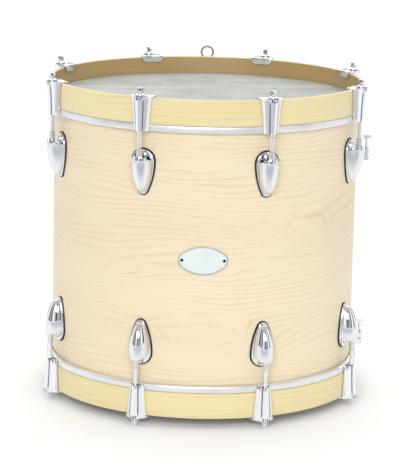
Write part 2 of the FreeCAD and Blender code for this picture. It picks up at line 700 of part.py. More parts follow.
def make_lug(side, number, angle):
    """A hollow egg-shaped lug on its floor, open towards the hoop, with a web for the nut."""
    body = new_body("%s_lug_%d" % (side, number), angle, SIDES[side])
    pad(body, egg_outline(new_sketch(body, "YZ_Plane", out="lug_seat"), "0"), "lug_flange")
    floor_at = value("lug_floor")
    round_edges(body, "lug_ease", lambda edge: lies_at(edge, "X", floor_at))
    half_egg(body, "AdditiveEllipsoid", "tail", "lug_middle", "dome_tail", "dome_half_width",
             "dome_depth")
    half_egg(body, "AdditiveEllipsoid", "hoop", "lug_middle", "dome_nose", "dome_half_width",
             "dome_depth")
    past_dome = "(dome_depth + lug_wall)"
    beyond = "lug_floor + " + past_dome
    mouth = new_sketch(body, "XZ_Plane")
    outline(mouth, [
        ("lug_floor", "mouth_edge"),
        (beyond, "mouth_edge + " + past_dome + " * tan(mouth_angle * 1deg)"),
        (beyond, "lug_middle + dome_nose + lug_wall"),
        ("lug_floor", "lug_middle + dome_nose + lug_wall"),
    ])
    pocket(body, mouth, "4 * lug_half_width", both_ways=True)
    inside = ("dome_half_width - lug_wall", "dome_depth - lug_wall")
    half_egg(body, "SubtractiveEllipsoid", "tail", "nut_shoulder",
             "dome_tail - web_thick / 2 - lug_wall", *inside)
    half_egg(body, "SubtractiveEllipsoid", "hoop", "nut_shoulder + web_thick",
             "dome_nose - web_thick / 2 - lug_wall", *inside)
    for at, height in (("lug_screw_high_at", "high_boss"), ("lug_screw_low_at", "low_boss")):
        boss = circle(new_sketch(body, "YZ_Plane", out="lug_seat"), "0", at, "boss_radius")
        pad(body, boss, "lug_flange + " + height)
        hole = circle(new_sketch(body, "YZ_Plane", out="lug_seat"), "0", at,
                      "screw_radius + thread_gap")
        pocket(body, hole, "lug_flange + " + height)
    web_hole = circle(new_sketch(body, "XY_Plane", out="lug_middle"), "rod_circle", "0",
                      "nut_radius + nut_hole_gap")
    pocket(body, web_hole, "web_thick * 2", both_ways=True)


def make_lug_gaskets():
    """Rubber pads, curved to the shell, flat under each lug and showing round it."""
    body = new_body("lug_gaskets", value("first_angle"))
    under = "shell_wall / 2"
    pad(body, egg_outline(new_sketch(body, "YZ_Plane", out="shell_radius - " + under),
                          "gasket_border"), "gasket_thick + " + under)
    shell_space = box_outline(new_sketch(body, "XZ_Plane"), "0", "shell_radius",
                              "lug_middle - 2 * lug_tail_length", "edge")
    revolve(body, shell_space, "Groove")
    holes = new_sketch(body, "YZ_Plane")
    for at in ("lug_screw_high_at", "lug_screw_low_at"):
        circle(holes, "0", at, "screw_radius + screw_hole_gap")
    pocket(body, holes, "lug_floor")
    repeat_round(body, both_sides=True)


def pan_screw(body, height, length_to, radius, head_radius, head_height, angle=0.0, seat="screw_seat"):
    """A pan-head screw along a radius, with its head inside the shell."""
    sketch = new_sketch(body, "XZ_Plane", up=height, turn=angle)
    round_by = "(%s) / 2" % head_height
    revolve(body, outline(sketch, [
        ("%s - %s" % (seat, head_height), "0"),
        (length_to, "0"),
        (length_to, radius),
        (seat, radius),
        (seat, head_radius),
        ("%s - %s + %s" % (seat, head_height, round_by), head_radius),
        ("%s - %s" % (seat, head_height), "%s - %s" % (head_radius, round_by), round_by),
    ]), axis="H_Axis")


def make_lug_screws():
    body = new_body("lug_screws", value("first_angle"))
    for at, boss in (("lug_screw_high_at", "high_boss"), ("lug_screw_low_at", "low_boss")):
        pan_screw(body, at, "lug_floor + %s - thread_gap" % boss, "screw_radius",
                  "screw_head_radius", "screw_head_height", seat="screw_seat - screw_washer_thick")
    repeat_round(body, both_sides=True)


def make_lug_screw_washers():
    body = new_body("lug_screw_washers", value("first_angle"))
    rings = new_sketch(body, "YZ_Plane", out="screw_seat - screw_washer_thick")
    for at in ("lug_screw_high_at", "lug_screw_low_at"):
        circle(rings, "0", at, "screw_washer_radius")
        circle(rings, "0", at, "screw_radius + thread_gap")
    pad(body, rings, "screw_washer_thick")
    repeat_round(body, both_sides=True)


# ---------------------------------------------------------------- badge and vent


def oval_outline(sketch, inset):
    """The badge's oval, drawn in from its edge by inset."""
    length = "(badge_half_length - %s)" % inset
    height = "(badge_half_height - %s)" % inset
    end, side = "badge_end_radius - " + inset, "badge_side_radius - " + inset
    across = "(badge_side_radius - %s) * badge_across" % inset
    along = "(badge_side_radius - %s) * badge_along - badge_side_radius + badge_half_height" % inset
    return outline(sketch, [
        (length, "0", end),
        (across, along, end),
        ("0", height, side),
        ("-" + across, along, side),
        ("-" + length, "0", end),
        ("-" + across, "-(" + along + ")", end),
        ("0", "-" + height, side),
        (across, "-(" + along + ")", side),
    ])


def curved_to_shell(body, inner, outer):
    """Keeps only what lies between two radii about the drum's axis."""
    tall = "badge_half_height * 2"
    far = "badge_half_length + shell_radius"
    inside = box_outline(new_sketch(body, "XZ_Plane"), "0", inner, "-" + tall, tall)
    revolve(body, inside, "Groove")
    outside = box_outline(new_sketch(body, "XZ_Plane"), outer, far, "-" + tall, tall)
    revolve(body, outside, "Groove")


def make_badge_plate():
    body = new_body("badge_plate")
    start = "shell_radius - badge_end_radius"
    blank = oval_outline(new_sketch(body, "XZ_Plane", out=start), "(bezel_width + thread_gap)")
    pad(body, blank, "2 * badge_end_radius")
    curved_to_shell(body, "shell_radius", "badge_face")
    for sign in (1, -1):
        hole = new_sketch(body, "YZ_Plane", turn=FRONT + sign * value("badge_pin_angle"))
        pocket(body, circle(hole, "0", "0", "badge_pin_radius + thread_gap"),
               "badge_face + badge_thick")


def make_badge_bezel():
    body = new_body("badge_bezel")
    start = "shell_radius - badge_end_radius"
    ring = oval_outline(new_sketch(body, "XZ_Plane", out=start), "0")
    oval_outline(ring, "bezel_width")
    pad(body, ring, "2 * badge_end_radius")
    curved_to_shell(body, "shell_radius", "badge_face + bezel_rise")


def make_badge_pins():
    body = new_body("badge_pins")
    dome_radius = "(badge_pin_head ^ 2 + badge_pin_dome ^ 2) / (2 * badge_pin_dome)"
    for sign in (1, -1):
        sketch = new_sketch(body, "XZ_Plane", turn=FRONT + sign * value("badge_pin_angle"))
        revolve(body, outline(sketch, [
            ("shell_inner", "0"),
            ("badge_face + badge_pin_dome", "0"),
            ("badge_face", "badge_pin_head", dome_radius),
            ("badge_face", "badge_pin_radius"),
            ("shell_inner", "badge_pin_radius"),
        ]), axis="H_Axis")


def make_vent_grommet():
    """Flanged eyelet through the shell at the rear, rolled over inside."""
    body = new_body("vent_grommet", REAR)
    outer = "vent_radius + vent_wall"
    rolled = "shell_inner - seat_gap"
    revolve(body, outline(new_sketch(body, "XZ_Plane"), [
        (rolled + " - vent_wall", "vent_radius"),
        ("shell_radius + vent_wall", "vent_radius"),
        ("shell_radius + vent_wall", outer + " + vent_flange - vent_wall"),
        ("shell_radius", outer + " + vent_flange", "vent_wall"),
        ("shell_radius", outer),
        (rolled, outer),
        (rolled, outer + " + vent_flange / 2"),
        (rolled + " - vent_wall", outer + " + vent_flange / 2"),
    ]), axis="H_Axis")


# ---------------------------------------------------------------- blocks on the shell


def base_plate(body, height):
    """A plate curved to the shell, with two screw holes in line above and below its centre."""
    under = "shell_wall / 2"
    plate = new_sketch(body, "YZ_Plane", up=height, out="shell_radius - " + under)
    round_box_outline(plate, "plate_half_width", "plate_half_height", "plate_round")
    pad(body, plate, "plate_thick + " + under)
    shell_space = box_outline(new_sketch(body, "XZ_Plane", up=height), "0", "shell_radius",
                              "-2 * plate_half_height", "2 * plate_half_height")
    revolve(body, shell_space, "Groove")
    holes = new_sketch(body, "YZ_Plane", up=height)
    for sign in ("", "-"):
        circle(holes, "0", sign + "plate_screw_out", "plate_screw_radius + thread_gap")
    pocket(body, holes, "shell_radius + 2 * plate_thick")


def make_rod_clamp(label, height):
    """Split block with a bore along the tangent, for a rod that the clamp screw grips."""
    body = new_body(label, RIGHT)
    base_plate(body, height)
    into_plate = "plate_thick / 2"
    block = new_sketch(body, "YZ_Plane", up=height, out="shell_radius + " + into_plate)
    box_outline(block, "-clamp_half_width", "clamp_half_width",
                "-clamp_half_height", "clamp_half_height")
    pad(body, block, "clamp_face - shell_radius - " + into_plate)
    face = value("clamp_face")
    round_edges(body, "plate_thick / 2", lambda edge: lies_at(edge, "X", face))
    bore = new_sketch(body, "XZ_Plane", up=height)
    pocket(body, circle(bore, "clamp_bore_at", "0", "clamp_bore"), "4 * plate_half_width", True)
    slit = new_sketch(body, "XZ_Plane", up=height)
    box_outline(slit, "clamp_bore_at", "clamp_face + clamp_slit", "-clamp_slit / 2", "clamp_slit / 2")
    pocket(body, slit, "4 * plate_half_width", True)
    hole = new_sketch(body, "XY_Plane", out=height)
    circle(hole, "clamp_screw_at", "0", "clamp_screw_radius + thread_gap")
    pocket(body, hole, "4 * clamp_half_height", True)


def make_clamp_screw(label, height):
    """T-headed screw: a flat bar on a tapered neck, above a plain shank."""
    body = new_body(label, RIGHT)
    head_foot = "clamp_half_height + clamp_neck"
    head_top = head_foot + " + wing_height"
    revolve(body, outline(new_sketch(body, "XZ_Plane", right="clamp_screw_at", up=height), [
        ("0", "-clamp_half_height"),
        ("clamp_screw_radius", "-clamp_half_height"),
        ("clamp_screw_radius", head_foot),
        ("wing_thick / 2", head_top + " - wing_bar"),
        ("wing_thick / 2", head_top + " - wing_bar / 2"),
        ("0", head_top + " - wing_bar / 2"),
    ]))
    bar = new_sketch(body, "XZ_Plane", right="clamp_screw_at", up=height)
    outline(bar, [
        ("-wing_half + wing_round", head_top + " - wing_bar", "wing_round"),
        ("wing_half - wing_round", head_top + " - wing_bar"),
        ("wing_half", head_top + " - wing_bar + wing_round", "wing_round"),
        ("wing_half", head_top + " - wing_round"),
        ("wing_half - wing_round", head_top, "wing_round"),
        ("-wing_half + wing_round", head_top),
        ("-wing_half", head_top + " - wing_round", "wing_round"),
        ("-wing_half", head_top + " - wing_bar + wing_round"),
    ])
    pad(body, bar, "wing_thick", both_ways=True)


def make_eye_block():
    """Block at the rear that carries the sling's eye bolt."""
    body = new_body("sling_block", REAR)
    base_plate(body, "eye_block_height")
    into_plate = "plate_thick / 2"
    block = new_sketch(body, "YZ_Plane", up="eye_block_height", out="shell_radius + " + into_plate)
    box_outline(block, "-eye_block_width / 2", "eye_block_width / 2",
                "-eye_block_half", "eye_block_half")
    pad(body, block, "eye_circle + eye_stem_radius + eye_block_wall - shell_radius - " + into_plate)
    face = value("eye_circle + eye_stem_radius + eye_block_wall")
    round_edges(body, "plate_thick / 2", lambda edge: lies_at(edge, "X", face))
    hole = new_sketch(body, "XY_Plane", out="eye_block_height")
    circle(hole, "eye_circle", "0", "eye_stem_radius + thread_gap")
    pocket(body, hole, "4 * eye_block_half", True)


def make_eye_bolt():
    """Eye bolt: ring facing the front, long stem and the collar that stops it in the block."""
    body = new_body("sling_eye_bolt", REAR)
    revolve(body, outline(new_sketch(body, "XZ_Plane", right="eye_circle"), [
        ("0", "eye_nut_foot - eye_tip_out"),
        ("eye_stem_radius", "eye_nut_foot - eye_tip_out"),
        ("eye_stem_radius", "eye_block_top"),
        ("eye_collar_radius", "eye_block_top"),
        ("eye_collar_radius", "eye_block_top + eye_collar_height"),
        ("eye_stem_radius", "eye_block_top + eye_collar_height"),
        ("eye_stem_radius", "eye_height - eye_ring_radius"),
        ("0", "eye_height - eye_ring_radius"),
    ]))
    ring = body.newObject("PartDesign::AdditiveTorus", "eye_ring")
    ring.AttachmentSupport = [(origin_item(body, "YZ_Plane"), "")]
    ring.MapMode = "FlatFace"
    bind(ring, AttachmentOffset__Base__y="eye_height", AttachmentOffset__Base__z="eye_circle",
         Radius1="eye_ring_radius", Radius2="eye_wire_radius")


def make_eye_nut():
    body = new_body("sling_lock_nut", REAR)
    profile = new_sketch(body, "XY_Plane", right="eye_circle", out="eye_nut_foot")
    half = "eye_nut_radius / 2"
    flat = "eye_nut_radius * sqrt(3) / 2"
    outline(profile, [
        ("eye_nut_radius", "0"), (half, flat), ("-" + half, flat),
        ("-eye_nut_radius", "0"), ("-" + half, "-" + flat), (half, "-" + flat),
    ])
    circle(profile, "0", "0", "eye_stem_radius + thread_gap")
    pad(body, profile, "eye_nut_height")


def make_plate_screws():
    body = new_body("plate_screws")
    for height, angle in (("clamp_high", RIGHT), ("clamp_low", RIGHT), ("eye_block_height", REAR)):
        for sign in (" + ", " - "):
            pan_screw(body, height + sign + "plate_screw_out",
                      "shell_radius + plate_thick - thread_gap", "plate_screw_radius",
                      "plate_screw_head", "plate_screw_head_height", angle)


# ---------------------------------------------------------------- the whole drum


def build():
    make_shell()
    for side in SIDES:
        make_head(side)
        make_flesh_hoop(side)
        make_counterhoop(side)
        make_claws(side)
        make_rod_washers(side)
        for number, angle in places():
            make_rod(side, number, angle)
            make_lug(side, number, angle)
    make_swivel_nuts()
    make_nut_retainers()
    make_lug_gaskets()
    make_lug_screws()
    make_lug_screw_washers()
    make_badge_plate()
    make_badge_bezel()
    make_badge_pins()
    make_vent_grommet()
    for level in ("high", "low"):
        label = {"high": "upper", "low": "lower"}[level]
        make_rod_clamp(label + "_rod_clamp", "clamp_" + level)
        make_clamp_screw(label + "_clamp_screw", "clamp_" + level)
    make_eye_block()
    make_eye_bolt()
    make_eye_nut()
    make_plate_screws()
    doc.recompute()


def check():
    """Stops on anything that failed to build."""
    for obj in doc.Objects:
        if "Invalid" in obj.State or "Error" in obj.State:
            raise RuntimeError("%s failed: %s" % (obj.Label, obj.State))
    for body in bodies():
        if body.Shape.isNull() or not body.Shape.isValid() or not body.Shape.Solids:
            raise RuntimeError(body.Label + ": no valid shape")


def bodies():
    return [obj for obj in doc.Objects if obj.TypeId == "PartDesign::Body"]


def export():
    os.makedirs("parts", exist_ok=True)
    for body in bodies():
        body.Shape.exportStep("parts/%s.step" % body.Label)


build()
check()
export()
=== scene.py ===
"""The looks of a double-headed maple drum with wooden counterhoops, round its construction model.

Metres, +Z up, front towards -Y. A repeated fitting is modelled once about the drum's middle, with
+X pointing outwards and its own drum side upwards, and copies of it are then seated on the drum.
"""

import math
from contextlib import contextmanager
from functools import partial

import bmesh
import bpy
from bpy.props import FloatProperty, FloatVectorProperty, IntProperty, PointerProperty
from mathutils import Matrix, Quaternion, Vector


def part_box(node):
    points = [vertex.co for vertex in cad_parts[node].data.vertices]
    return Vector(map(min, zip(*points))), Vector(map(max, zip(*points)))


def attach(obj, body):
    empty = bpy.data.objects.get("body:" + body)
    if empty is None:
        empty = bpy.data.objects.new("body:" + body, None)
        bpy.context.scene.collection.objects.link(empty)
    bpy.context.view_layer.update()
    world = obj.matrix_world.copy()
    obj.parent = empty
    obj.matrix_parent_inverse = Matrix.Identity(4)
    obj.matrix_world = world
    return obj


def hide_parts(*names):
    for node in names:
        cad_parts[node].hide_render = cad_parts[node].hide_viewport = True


bl_info = {
    "name": "Maple hoop drum",
    "version": (1, 0, 0),
    "blender": (4, 5, 0),
    "location": "3D View > Sidebar > Drum",
    "description": "Models and finishes a rod-tensioned maple drum round its construction model",
    "category": "Object",
}

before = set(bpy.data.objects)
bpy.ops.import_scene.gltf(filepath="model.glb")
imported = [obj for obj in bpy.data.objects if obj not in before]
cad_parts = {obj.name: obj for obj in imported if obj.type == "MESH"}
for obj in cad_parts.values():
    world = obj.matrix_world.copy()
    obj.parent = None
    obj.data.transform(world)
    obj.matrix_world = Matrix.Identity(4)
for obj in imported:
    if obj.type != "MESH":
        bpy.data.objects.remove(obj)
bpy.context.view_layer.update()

# ---------------------------------------------------------------- sizes that the frame gives

SIDES = ("batter", "resonant")
SHELL_LOW, SHELL_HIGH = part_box("shell")
SHELL_RADIUS = SHELL_HIGH.x
MIDDLE = (SHELL_LOW.z + SHELL_HIGH.z) / 2
HOOP_LOW, HOOP_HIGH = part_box("batter_counterhoop")
FLESH_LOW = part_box("batter_flesh_hoop")[0]
SKIN_LOW, SKIN_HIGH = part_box("batter_skin")
CLAW_LOW, CLAW_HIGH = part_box("batter_claws")
LUG_LOW, LUG_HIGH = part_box("batter_lug_1")
ROD_LOW, ROD_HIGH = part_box("batter_tension_rod_1")
WASHER_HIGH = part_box("batter_rod_washers")[1]
NUT_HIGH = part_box("swivel_nuts")[1].z - MIDDLE
PLACES = sum(name.startswith("batter_tension_rod_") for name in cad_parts)
ROD_AXIS = (ROD_LOW + ROD_HIGH) / 2
ROD_CIRCLE = math.hypot(ROD_AXIS.x, ROD_AXIS.y)
FIRST_ANGLE = math.atan2(ROD_AXIS.y, ROD_AXIS.x)

RIM = HOOP_HIGH.z - MIDDLE
HOOP_SEAT = HOOP_LOW.z - MIDDLE
HOOP_OUTER = HOOP_HIGH.x
FLESH_END = FLESH_LOW.z - MIDDLE
SKIN_TOP = SKIN_HIGH.z - MIDDLE
SKIN_END = SKIN_LOW.z - MIDDLE
CLAW_TOP = CLAW_HIGH.z - MIDDLE
CLAW_END = CLAW_LOW.z - MIDDLE
LUG_TOP = LUG_HIGH.z - MIDDLE
LUG_TAIL = LUG_LOW.z - MIDDLE
ROD_TOP = ROD_HIGH.z - MIDDLE
ROD_TIP = ROD_LOW.z - MIDDLE
FLANGE_SEAT = WASHER_HIGH.z - MIDDLE

# ---------------------------------------------------------------- sizes too small to change

ROD_ROOM = 0.0003  # a claw's hole round its rod
EASE = 0.0004  # eased edges of rods and screw bosses
SHARP_EASE = 0.0003  # eased edges of a claw's plate and tongue
LEAST_RIB = 0.0006  # a claw's middle rib, where the wall leaves little of it
CAST_WAVES = 0.00002  # waviness of plated castings
CHEEK = 1.25  # radius of a claw's cheeks, in half widths
BEND_STEPS = 5  # steps of a hoop's or skin's bend
CLAW_LEVELS = 6  # levels of a claw's hollow
EGG_END_STEPS = 12  # steps of the round and narrow ends of a lug, and below, of its flanks
EGG_SIDE_STEPS = 14


# ---------------------------------------------------------------- sizes and colours to change


def length(name, description, metres):
    """A size property in metres."""
    return FloatProperty(name=name, description=description, default=metres, min=0, unit="LENGTH",
                         precision=5)


def slant(name, description, degrees):
    return FloatProperty(name=name, description=description, default=math.radians(degrees),
                         subtype="ANGLE")


def tint(name, description, red, green, blue):
    """A colour property, given and shown as a screen colour."""
    return FloatVectorProperty(name=name, description=description, default=(red, green, blue),
                               min=0, max=1, subtype="COLOR_GAMMA")


class HoopSizes(bpy.types.PropertyGroup):
    wall: length("Wall", "Thickness of a counterhoop", 0.0063)
    rim_round: length("Rim round", "Rounded corners of a counterhoop's rim", 0.0018)
    seat_ease: length("Seat ease", "Eased corners of a counterhoop's seat", 0.0005)
    flesh_wall: length("Flesh hoop wall", "Wall of the aluminium channel", 0.0012)
    flesh_inner_gap: length("Flesh hoop gap", "Shell to the aluminium channel", 0.001)
    flesh_round: length("Flesh hoop round", "Rounded corners of the channel", 0.0022)
    steps: IntProperty(name="Steps", description="Steps of a hoop's full turn", default=256, min=32)


class HeadSizes(bpy.types.PropertyGroup):
    film: length("Film", "Thickness of the skin", 0.0004)
    collar_gap: length("Collar gap", "Shell to the collar", 0.0003)
    edge_round: length("Edge round", "Skin's bend over the bearing edge", 0.0012)
    channel_gap: length("Channel gap", "Skin's edge to the outside of the flesh hoop", 0.0018)
    steps: IntProperty(name="Steps", description="Steps of a skin's full turn", default=192, min=32)


class ClawSizes(bpy.types.PropertyGroup):
    gap: length("Gap", "Counterhoop to the claw's back", 0.0002)
    half: length("Half width", "Half the claw's width at the rim", 0.0145)
    end_half: length("End half width", "Half the claw's width at its small end", 0.0102)
    crest: length("Crest", "Rod's axis to the middle rib at the rim", 0.0086)
    end_crest: length("End crest", "Rod's axis to the middle rib at the small end", 0.0049)
    side: length("Side", "Depth of the claw's flat sides", 0.0036)
    rib_half: length("Rib half width", "Half the middle rib at the rim", 0.0062)
    rib_rise: length("Rib rise", "Middle rib above its valleys", 0.0037)
    wall: length("Wall", "Wall of the hollow claw", 0.0017)
    roof: length("Roof", "Solid top round the rod", 0.004)
    round: length("Round", "Rounding of the claw's edges", 0.0007)
    waist: length("Waist", "How far the claw's sides curve in halfway down", 0.0005)
    lip: length("Lip", "Plate over the rim", 0.002)
    tongue_half: length("Tongue half width", "Half the tongue inside the rim", 0.015)
    tongue_thick: length("Tongue thickness", "Tongue inside the rim", 0.0023)
    tongue_drop: length("Tongue drop", "Tongue below the rim", 0.007)
    tongue_gap: length("Tongue gap", "Counterhoop to the tongue", 0.0009)
    tongue_round: length("Tongue round", "Rounded corners of the tongue", 0.0068)


class LugSizes(bpy.types.PropertyGroup):
    half: length("Half width", "Half a lug's width", 0.01475)
    tail_round: length("Tail round", "Rounding of the narrow end", 0.0065)
    gasket: length("Gasket", "Rubber under the lug", 0.001)
    flange: length("Flange", "Thickness of the lug's floor", 0.0022)
    flange_ease: length("Flange ease", "Rounded rim of the floor", 0.0008)
    step_in: length("Step", "Rim left round the raised floor", 0.0011)
    step_rise: length("Step rise", "Raised floor above its rim", 0.0003)
    inset: length("Inset", "Rim outside the dome", 0.0016)
    cover: length("Cover", "Dome outside the rod's axis", 0.0069)
    nose: length("Nose", "Dome's long radius towards the hoop", 0.026)
    wall: length("Wall", "Wall of the dome", 0.0018)
    web: length("Web", "Wall across the lug that the nut pulls on", 0.0035)
    mouth_setback: length("Mouth setback", "Mouth's edge below the widest place", 0.0009)
    mouth_angle: slant("Mouth angle", "Slant of the mouth", 25.5)
    lip_round: length("Lip round", "Rounded lip of the mouth", 0.0006)
    nut_hole: length("Nut hole", "Radius of the web's hole", 0.0039)
    boss: length("Boss", "Radius of a screw boss", 0.0042)
    screw_hole: length("Screw hole", "Radius of a screw's hole", 0.00245)
    high_screw: length("High screw", "Upper screw above the widest place", 0.0071)
    high_boss: length("High boss", "Upper boss above the floor", 0.0036)
    low_screw: length("Low screw", "Lower screw below the widest place", 0.0279)
    low_boss: length("Low boss", "Lower boss above the floor", 0.0075)


class RodSizes(bpy.types.PropertyGroup):
    radius: length("Radius", "Radius of a tension rod", 0.0028)
    pitch: length("Pitch", "Pitch of the thread, 24 to the inch", 0.0254 / 24)
    thread_depth: length("Thread depth", "Depth of the thread", 0.00042)
    flange: length("Flange", "Radius of the flange", 0.0059)
    flange_high: length("Flange height", "Height of the flange", 0.0015)
    cone: length("Cone", "Radius of the cone's top", 0.0036)
    key: length("Key", "Key square, across its flats", 0.0063)
    key_high: length("Key height", "Height of the key square", 0.0065)
    key_round: length("Key round", "Rounded corners of the key square", 0.0009)


class StageSettings(bpy.types.PropertyGroup):
    lens: FloatProperty(name="Lens", description="Focal length in millimetres", default=178.68)
    distance: length("Distance", "Camera to the drum's middle", 3.0276)
    elevation: slant("Elevation", "Camera above the horizon", 11.88)
    roll: slant("Roll", "Camera turned about its own line of sight", 1.27)
    aim_left: length("Aim left", "The camera's aim left of the drum's axis", 0.0048)
    aim_down: length("Aim down", "The camera's aim below the drum's middle", 0.0009)
    floor: length("Floor", "Side of the square floor", 16.0)
    key_power: FloatProperty(name="Key light", description="Watts of the large light overhead",
                             default=160.0)
    fill_power: FloatProperty(name="Fill light", description="Watts of each front light",
                              default=48.0)
    sky: FloatProperty(name="Sky", description="Brightness of the studio's walls", default=1.0)


class Colours(bpy.types.PropertyGroup):
    veneer: tint("Veneer", "Pale maple of the shell", 0.925, 0.868, 0.75)
    veneer_grain: tint("Veneer grain", "Growth lines of the shell's maple", 0.82, 0.7, 0.53)
    inner_ply: tint("Inner ply", "Bare maple inside the shell", 0.84, 0.72, 0.54)
    hoop: tint("Counterhoop", "Lacquered maple of the counterhoops", 0.895, 0.838, 0.64)
    hoop_grain: tint("Counterhoop grain", "Growth lines of the counterhoops", 0.86, 0.74, 0.47)
    # The inner face's colour is partly a browner lacquer and partly painted shade.
    hoop_inside: tint("Counterhoop inside", "Inner face of a counterhoop", 0.64, 0.51, 0.3)
    ply_line: tint("Ply line", "Glue between a counterhoop's plies", 0.6, 0.47, 0.27)
    skin: tint("Skin", "Ground colour of the heads", 0.765, 0.78, 0.75)
    skin_cloud: tint("Skin clouds", "Darker fibres in the heads", 0.66, 0.684, 0.658)
    rubber: tint("Rubber", "Gaskets under the lugs", 0.1, 0.1, 0.095)
    badge: tint("Badge", "Silver-white badge plate", 0.9, 0.93, 0.925)


GROUPS = {
    "drum_hoops": HoopSizes,
    "drum_heads": HeadSizes,
    "drum_claws": ClawSizes,
    "drum_lugs": LugSizes,
    "drum_rods": RodSizes,
    "drum_stage": StageSettings,
    "drum_colours": Colours,
}


# ---------------------------------------------------------------- shaping


def alone(piece):
    """Selects one object, and nothing else, and makes it the active one."""
    bpy.ops.object.select_all(action="DESELECT")
    piece.select_set(True)
    bpy.context.view_layer.objects.active = piece
    return piece


def new_piece(add, **settings):
    """A primitive, alone in the selection."""
    bpy.ops.object.select_all(action="DESELECT")
    add(**settings)
    return bpy.context.object


@contextmanager
def editing(piece, what):
    """Edit mode on one piece, where what is VERT, EDGE or FACE."""
    alone(piece)
    bpy.ops.object.mode_set(mode="EDIT")
    bpy.ops.mesh.select_mode(type=what)
    bpy.ops.mesh.select_all(action="SELECT")
    yield bmesh.from_edit_mesh(piece.data)
    bpy.ops.object.mode_set(mode="OBJECT")


def pick(piece, kind, wanted):
    """In edit mode, selects those of the piece's verts, edges or faces for which wanted holds."""
    bpy.ops.mesh.select_all(action="DESELECT")
    mesh = bmesh.from_edit_mesh(piece.data)
    for item in filter(wanted, getattr(mesh, kind)):
        item.select_set(True)
    mesh.select_flush_mode()
    bmesh.update_edit_mesh(piece.data)


def pushed(x=0.0, y=0.0, z=0.0):
    """In edit mode, extrudes what is selected."""
    bpy.ops.mesh.extrude_region_move(TRANSFORM_OT_translate={"value": (x, y, z)})


def sliced(point, across, **kept):
    """In edit mode, cuts the whole piece with a plane, one side of which is cleared."""
    bpy.ops.mesh.select_all(action="SELECT")
    bpy.ops.mesh.bisect(plane_co=point, plane_no=across, **kept)


def resized(x, y, z, centre=(0, 0, 0)):
    """In edit mode, resizes what is selected about a centre."""
    bpy.ops.transform.resize(value=(x, y, z), center_override=centre)


def within(item, axis, place, reach=1e-5):
    """Whether all of an edge or face lies at one place along an axis."""
    return all(abs(vert.co[axis] - place) < reach for vert in item.verts)


def settled(piece):
    """Moves a piece's place, turn and size into its mesh."""
    alone(piece)
    bpy.ops.object.transform_apply(location=True, rotation=True, scale=True)
    return piece


def merged(piece):
    """Merges doubled points and turns the faces outwards."""
    with editing(piece, "VERT"):
        bpy.ops.mesh.remove_doubles(threshold=1e-6)
        bpy.ops.mesh.normals_make_consistent(inside=False)
    return piece


def modified(piece, kind, **settings):
    """Adds a modifier and applies it."""
    alone(piece)
    bpy.ops.object.modifier_add(type=kind)
    modifier = piece.modifiers[-1]
    for name, setting in settings.items():
        setattr(modifier, name, setting)
    bpy.ops.object.modifier_apply(modifier=modifier.name)
    return piece


def bevelled(piece, width, steps, angle):
    """Rounds every edge that turns by more than the angle."""
    return modified(piece, "BEVEL", width=width, segments=steps, limit_method="ANGLE",
                    angle_limit=math.radians(angle), harden_normals=False)


def cut_by(piece, cutter):
    """Cuts a piece with another, which goes."""
    modified(piece, "BOOLEAN", object=cutter, operation="DIFFERENCE", solver="EXACT")
    bpy.data.objects.remove(cutter)
    return piece


def drilled(piece, radius, depth, place, steps, along_x=False):
    """Cuts a round hole along Z or X."""
    turn = (0, math.pi / 2 if along_x else 0, 0)
    return cut_by(piece, settled(new_piece(bpy.ops.mesh.primitive_cylinder_add, vertices=steps,
                                           radius=radius, depth=depth, location=place,
                                           rotation=turn)))


def smoothed(piece, angle=32):
    alone(piece)
    bpy.ops.object.shade_smooth_by_angle(angle=math.radians(angle))
    return piece


def joined(pieces):
    """Joins pieces into the first of them."""
    bpy.ops.object.select_all(action="DESELECT")
    for piece in pieces:
        piece.select_set(True)
    bpy.context.view_layer.objects.active = pieces[0]
    bpy.ops.object.join()
    return pieces[0]


def copied(piece, place):
    """A copy with its own mesh, moved and turned as the matrix says."""
    alone(piece)
    bpy.ops.object.duplicate()
    copy = bpy.context.object
    copy.matrix_world = place
    return settled(copy)


def removed(piece):
    bpy.data.meshes.remove(piece.data)


def seat(side, number=None):
    """Where what is drawn about the drum's middle goes: on a side, at a numbered tension rod."""
    turned_over = Matrix.Rotation(0 if side == "batter" else math.pi, 4, "X")
    angle = 0 if number is None else FIRST_ANGLE + (number - 1) * math.tau / PLACES
    return Matrix.Translation((0, 0, MIDDLE)) @ Matrix.Rotation(angle, 4, "Z") @ turned_over


def set_round(pattern, name, paint, body, replaced):
    """Finishes a copy of a pattern at each tension rod of each side, and drops the pattern.

    Each name has room for the side and the rod's number.
    """
    for side in SIDES:
        for number in range(1, PLACES + 1):
            finished(copied(pattern, seat(side, number)), name.format(side, number), paint,
                     body.format(side, number), replaced.format(side, number))
    removed(pattern)


def arc(start, end, radius, steps):
    """Points after start, up to end, on the arc of under half a turn that runs anticlockwise."""
    start, end = Vector(start), Vector(end)
    chord = end - start
    left = Vector((-chord.y, chord.x)).normalized()
    centre = (start + end) / 2 + left * math.sqrt(max(radius ** 2 - chord.length_squared / 4, 0))
    first = math.atan2(start.y - centre.y, start.x - centre.x)
    sweep = (math.atan2(end.y - centre.y, end.x - centre.x) - first) % math.tau
    angles = [first + sweep * step / steps for step in range(1, steps + 1)]
    return [centre + radius * Vector((math.cos(a), math.sin(a))) for a in angles]


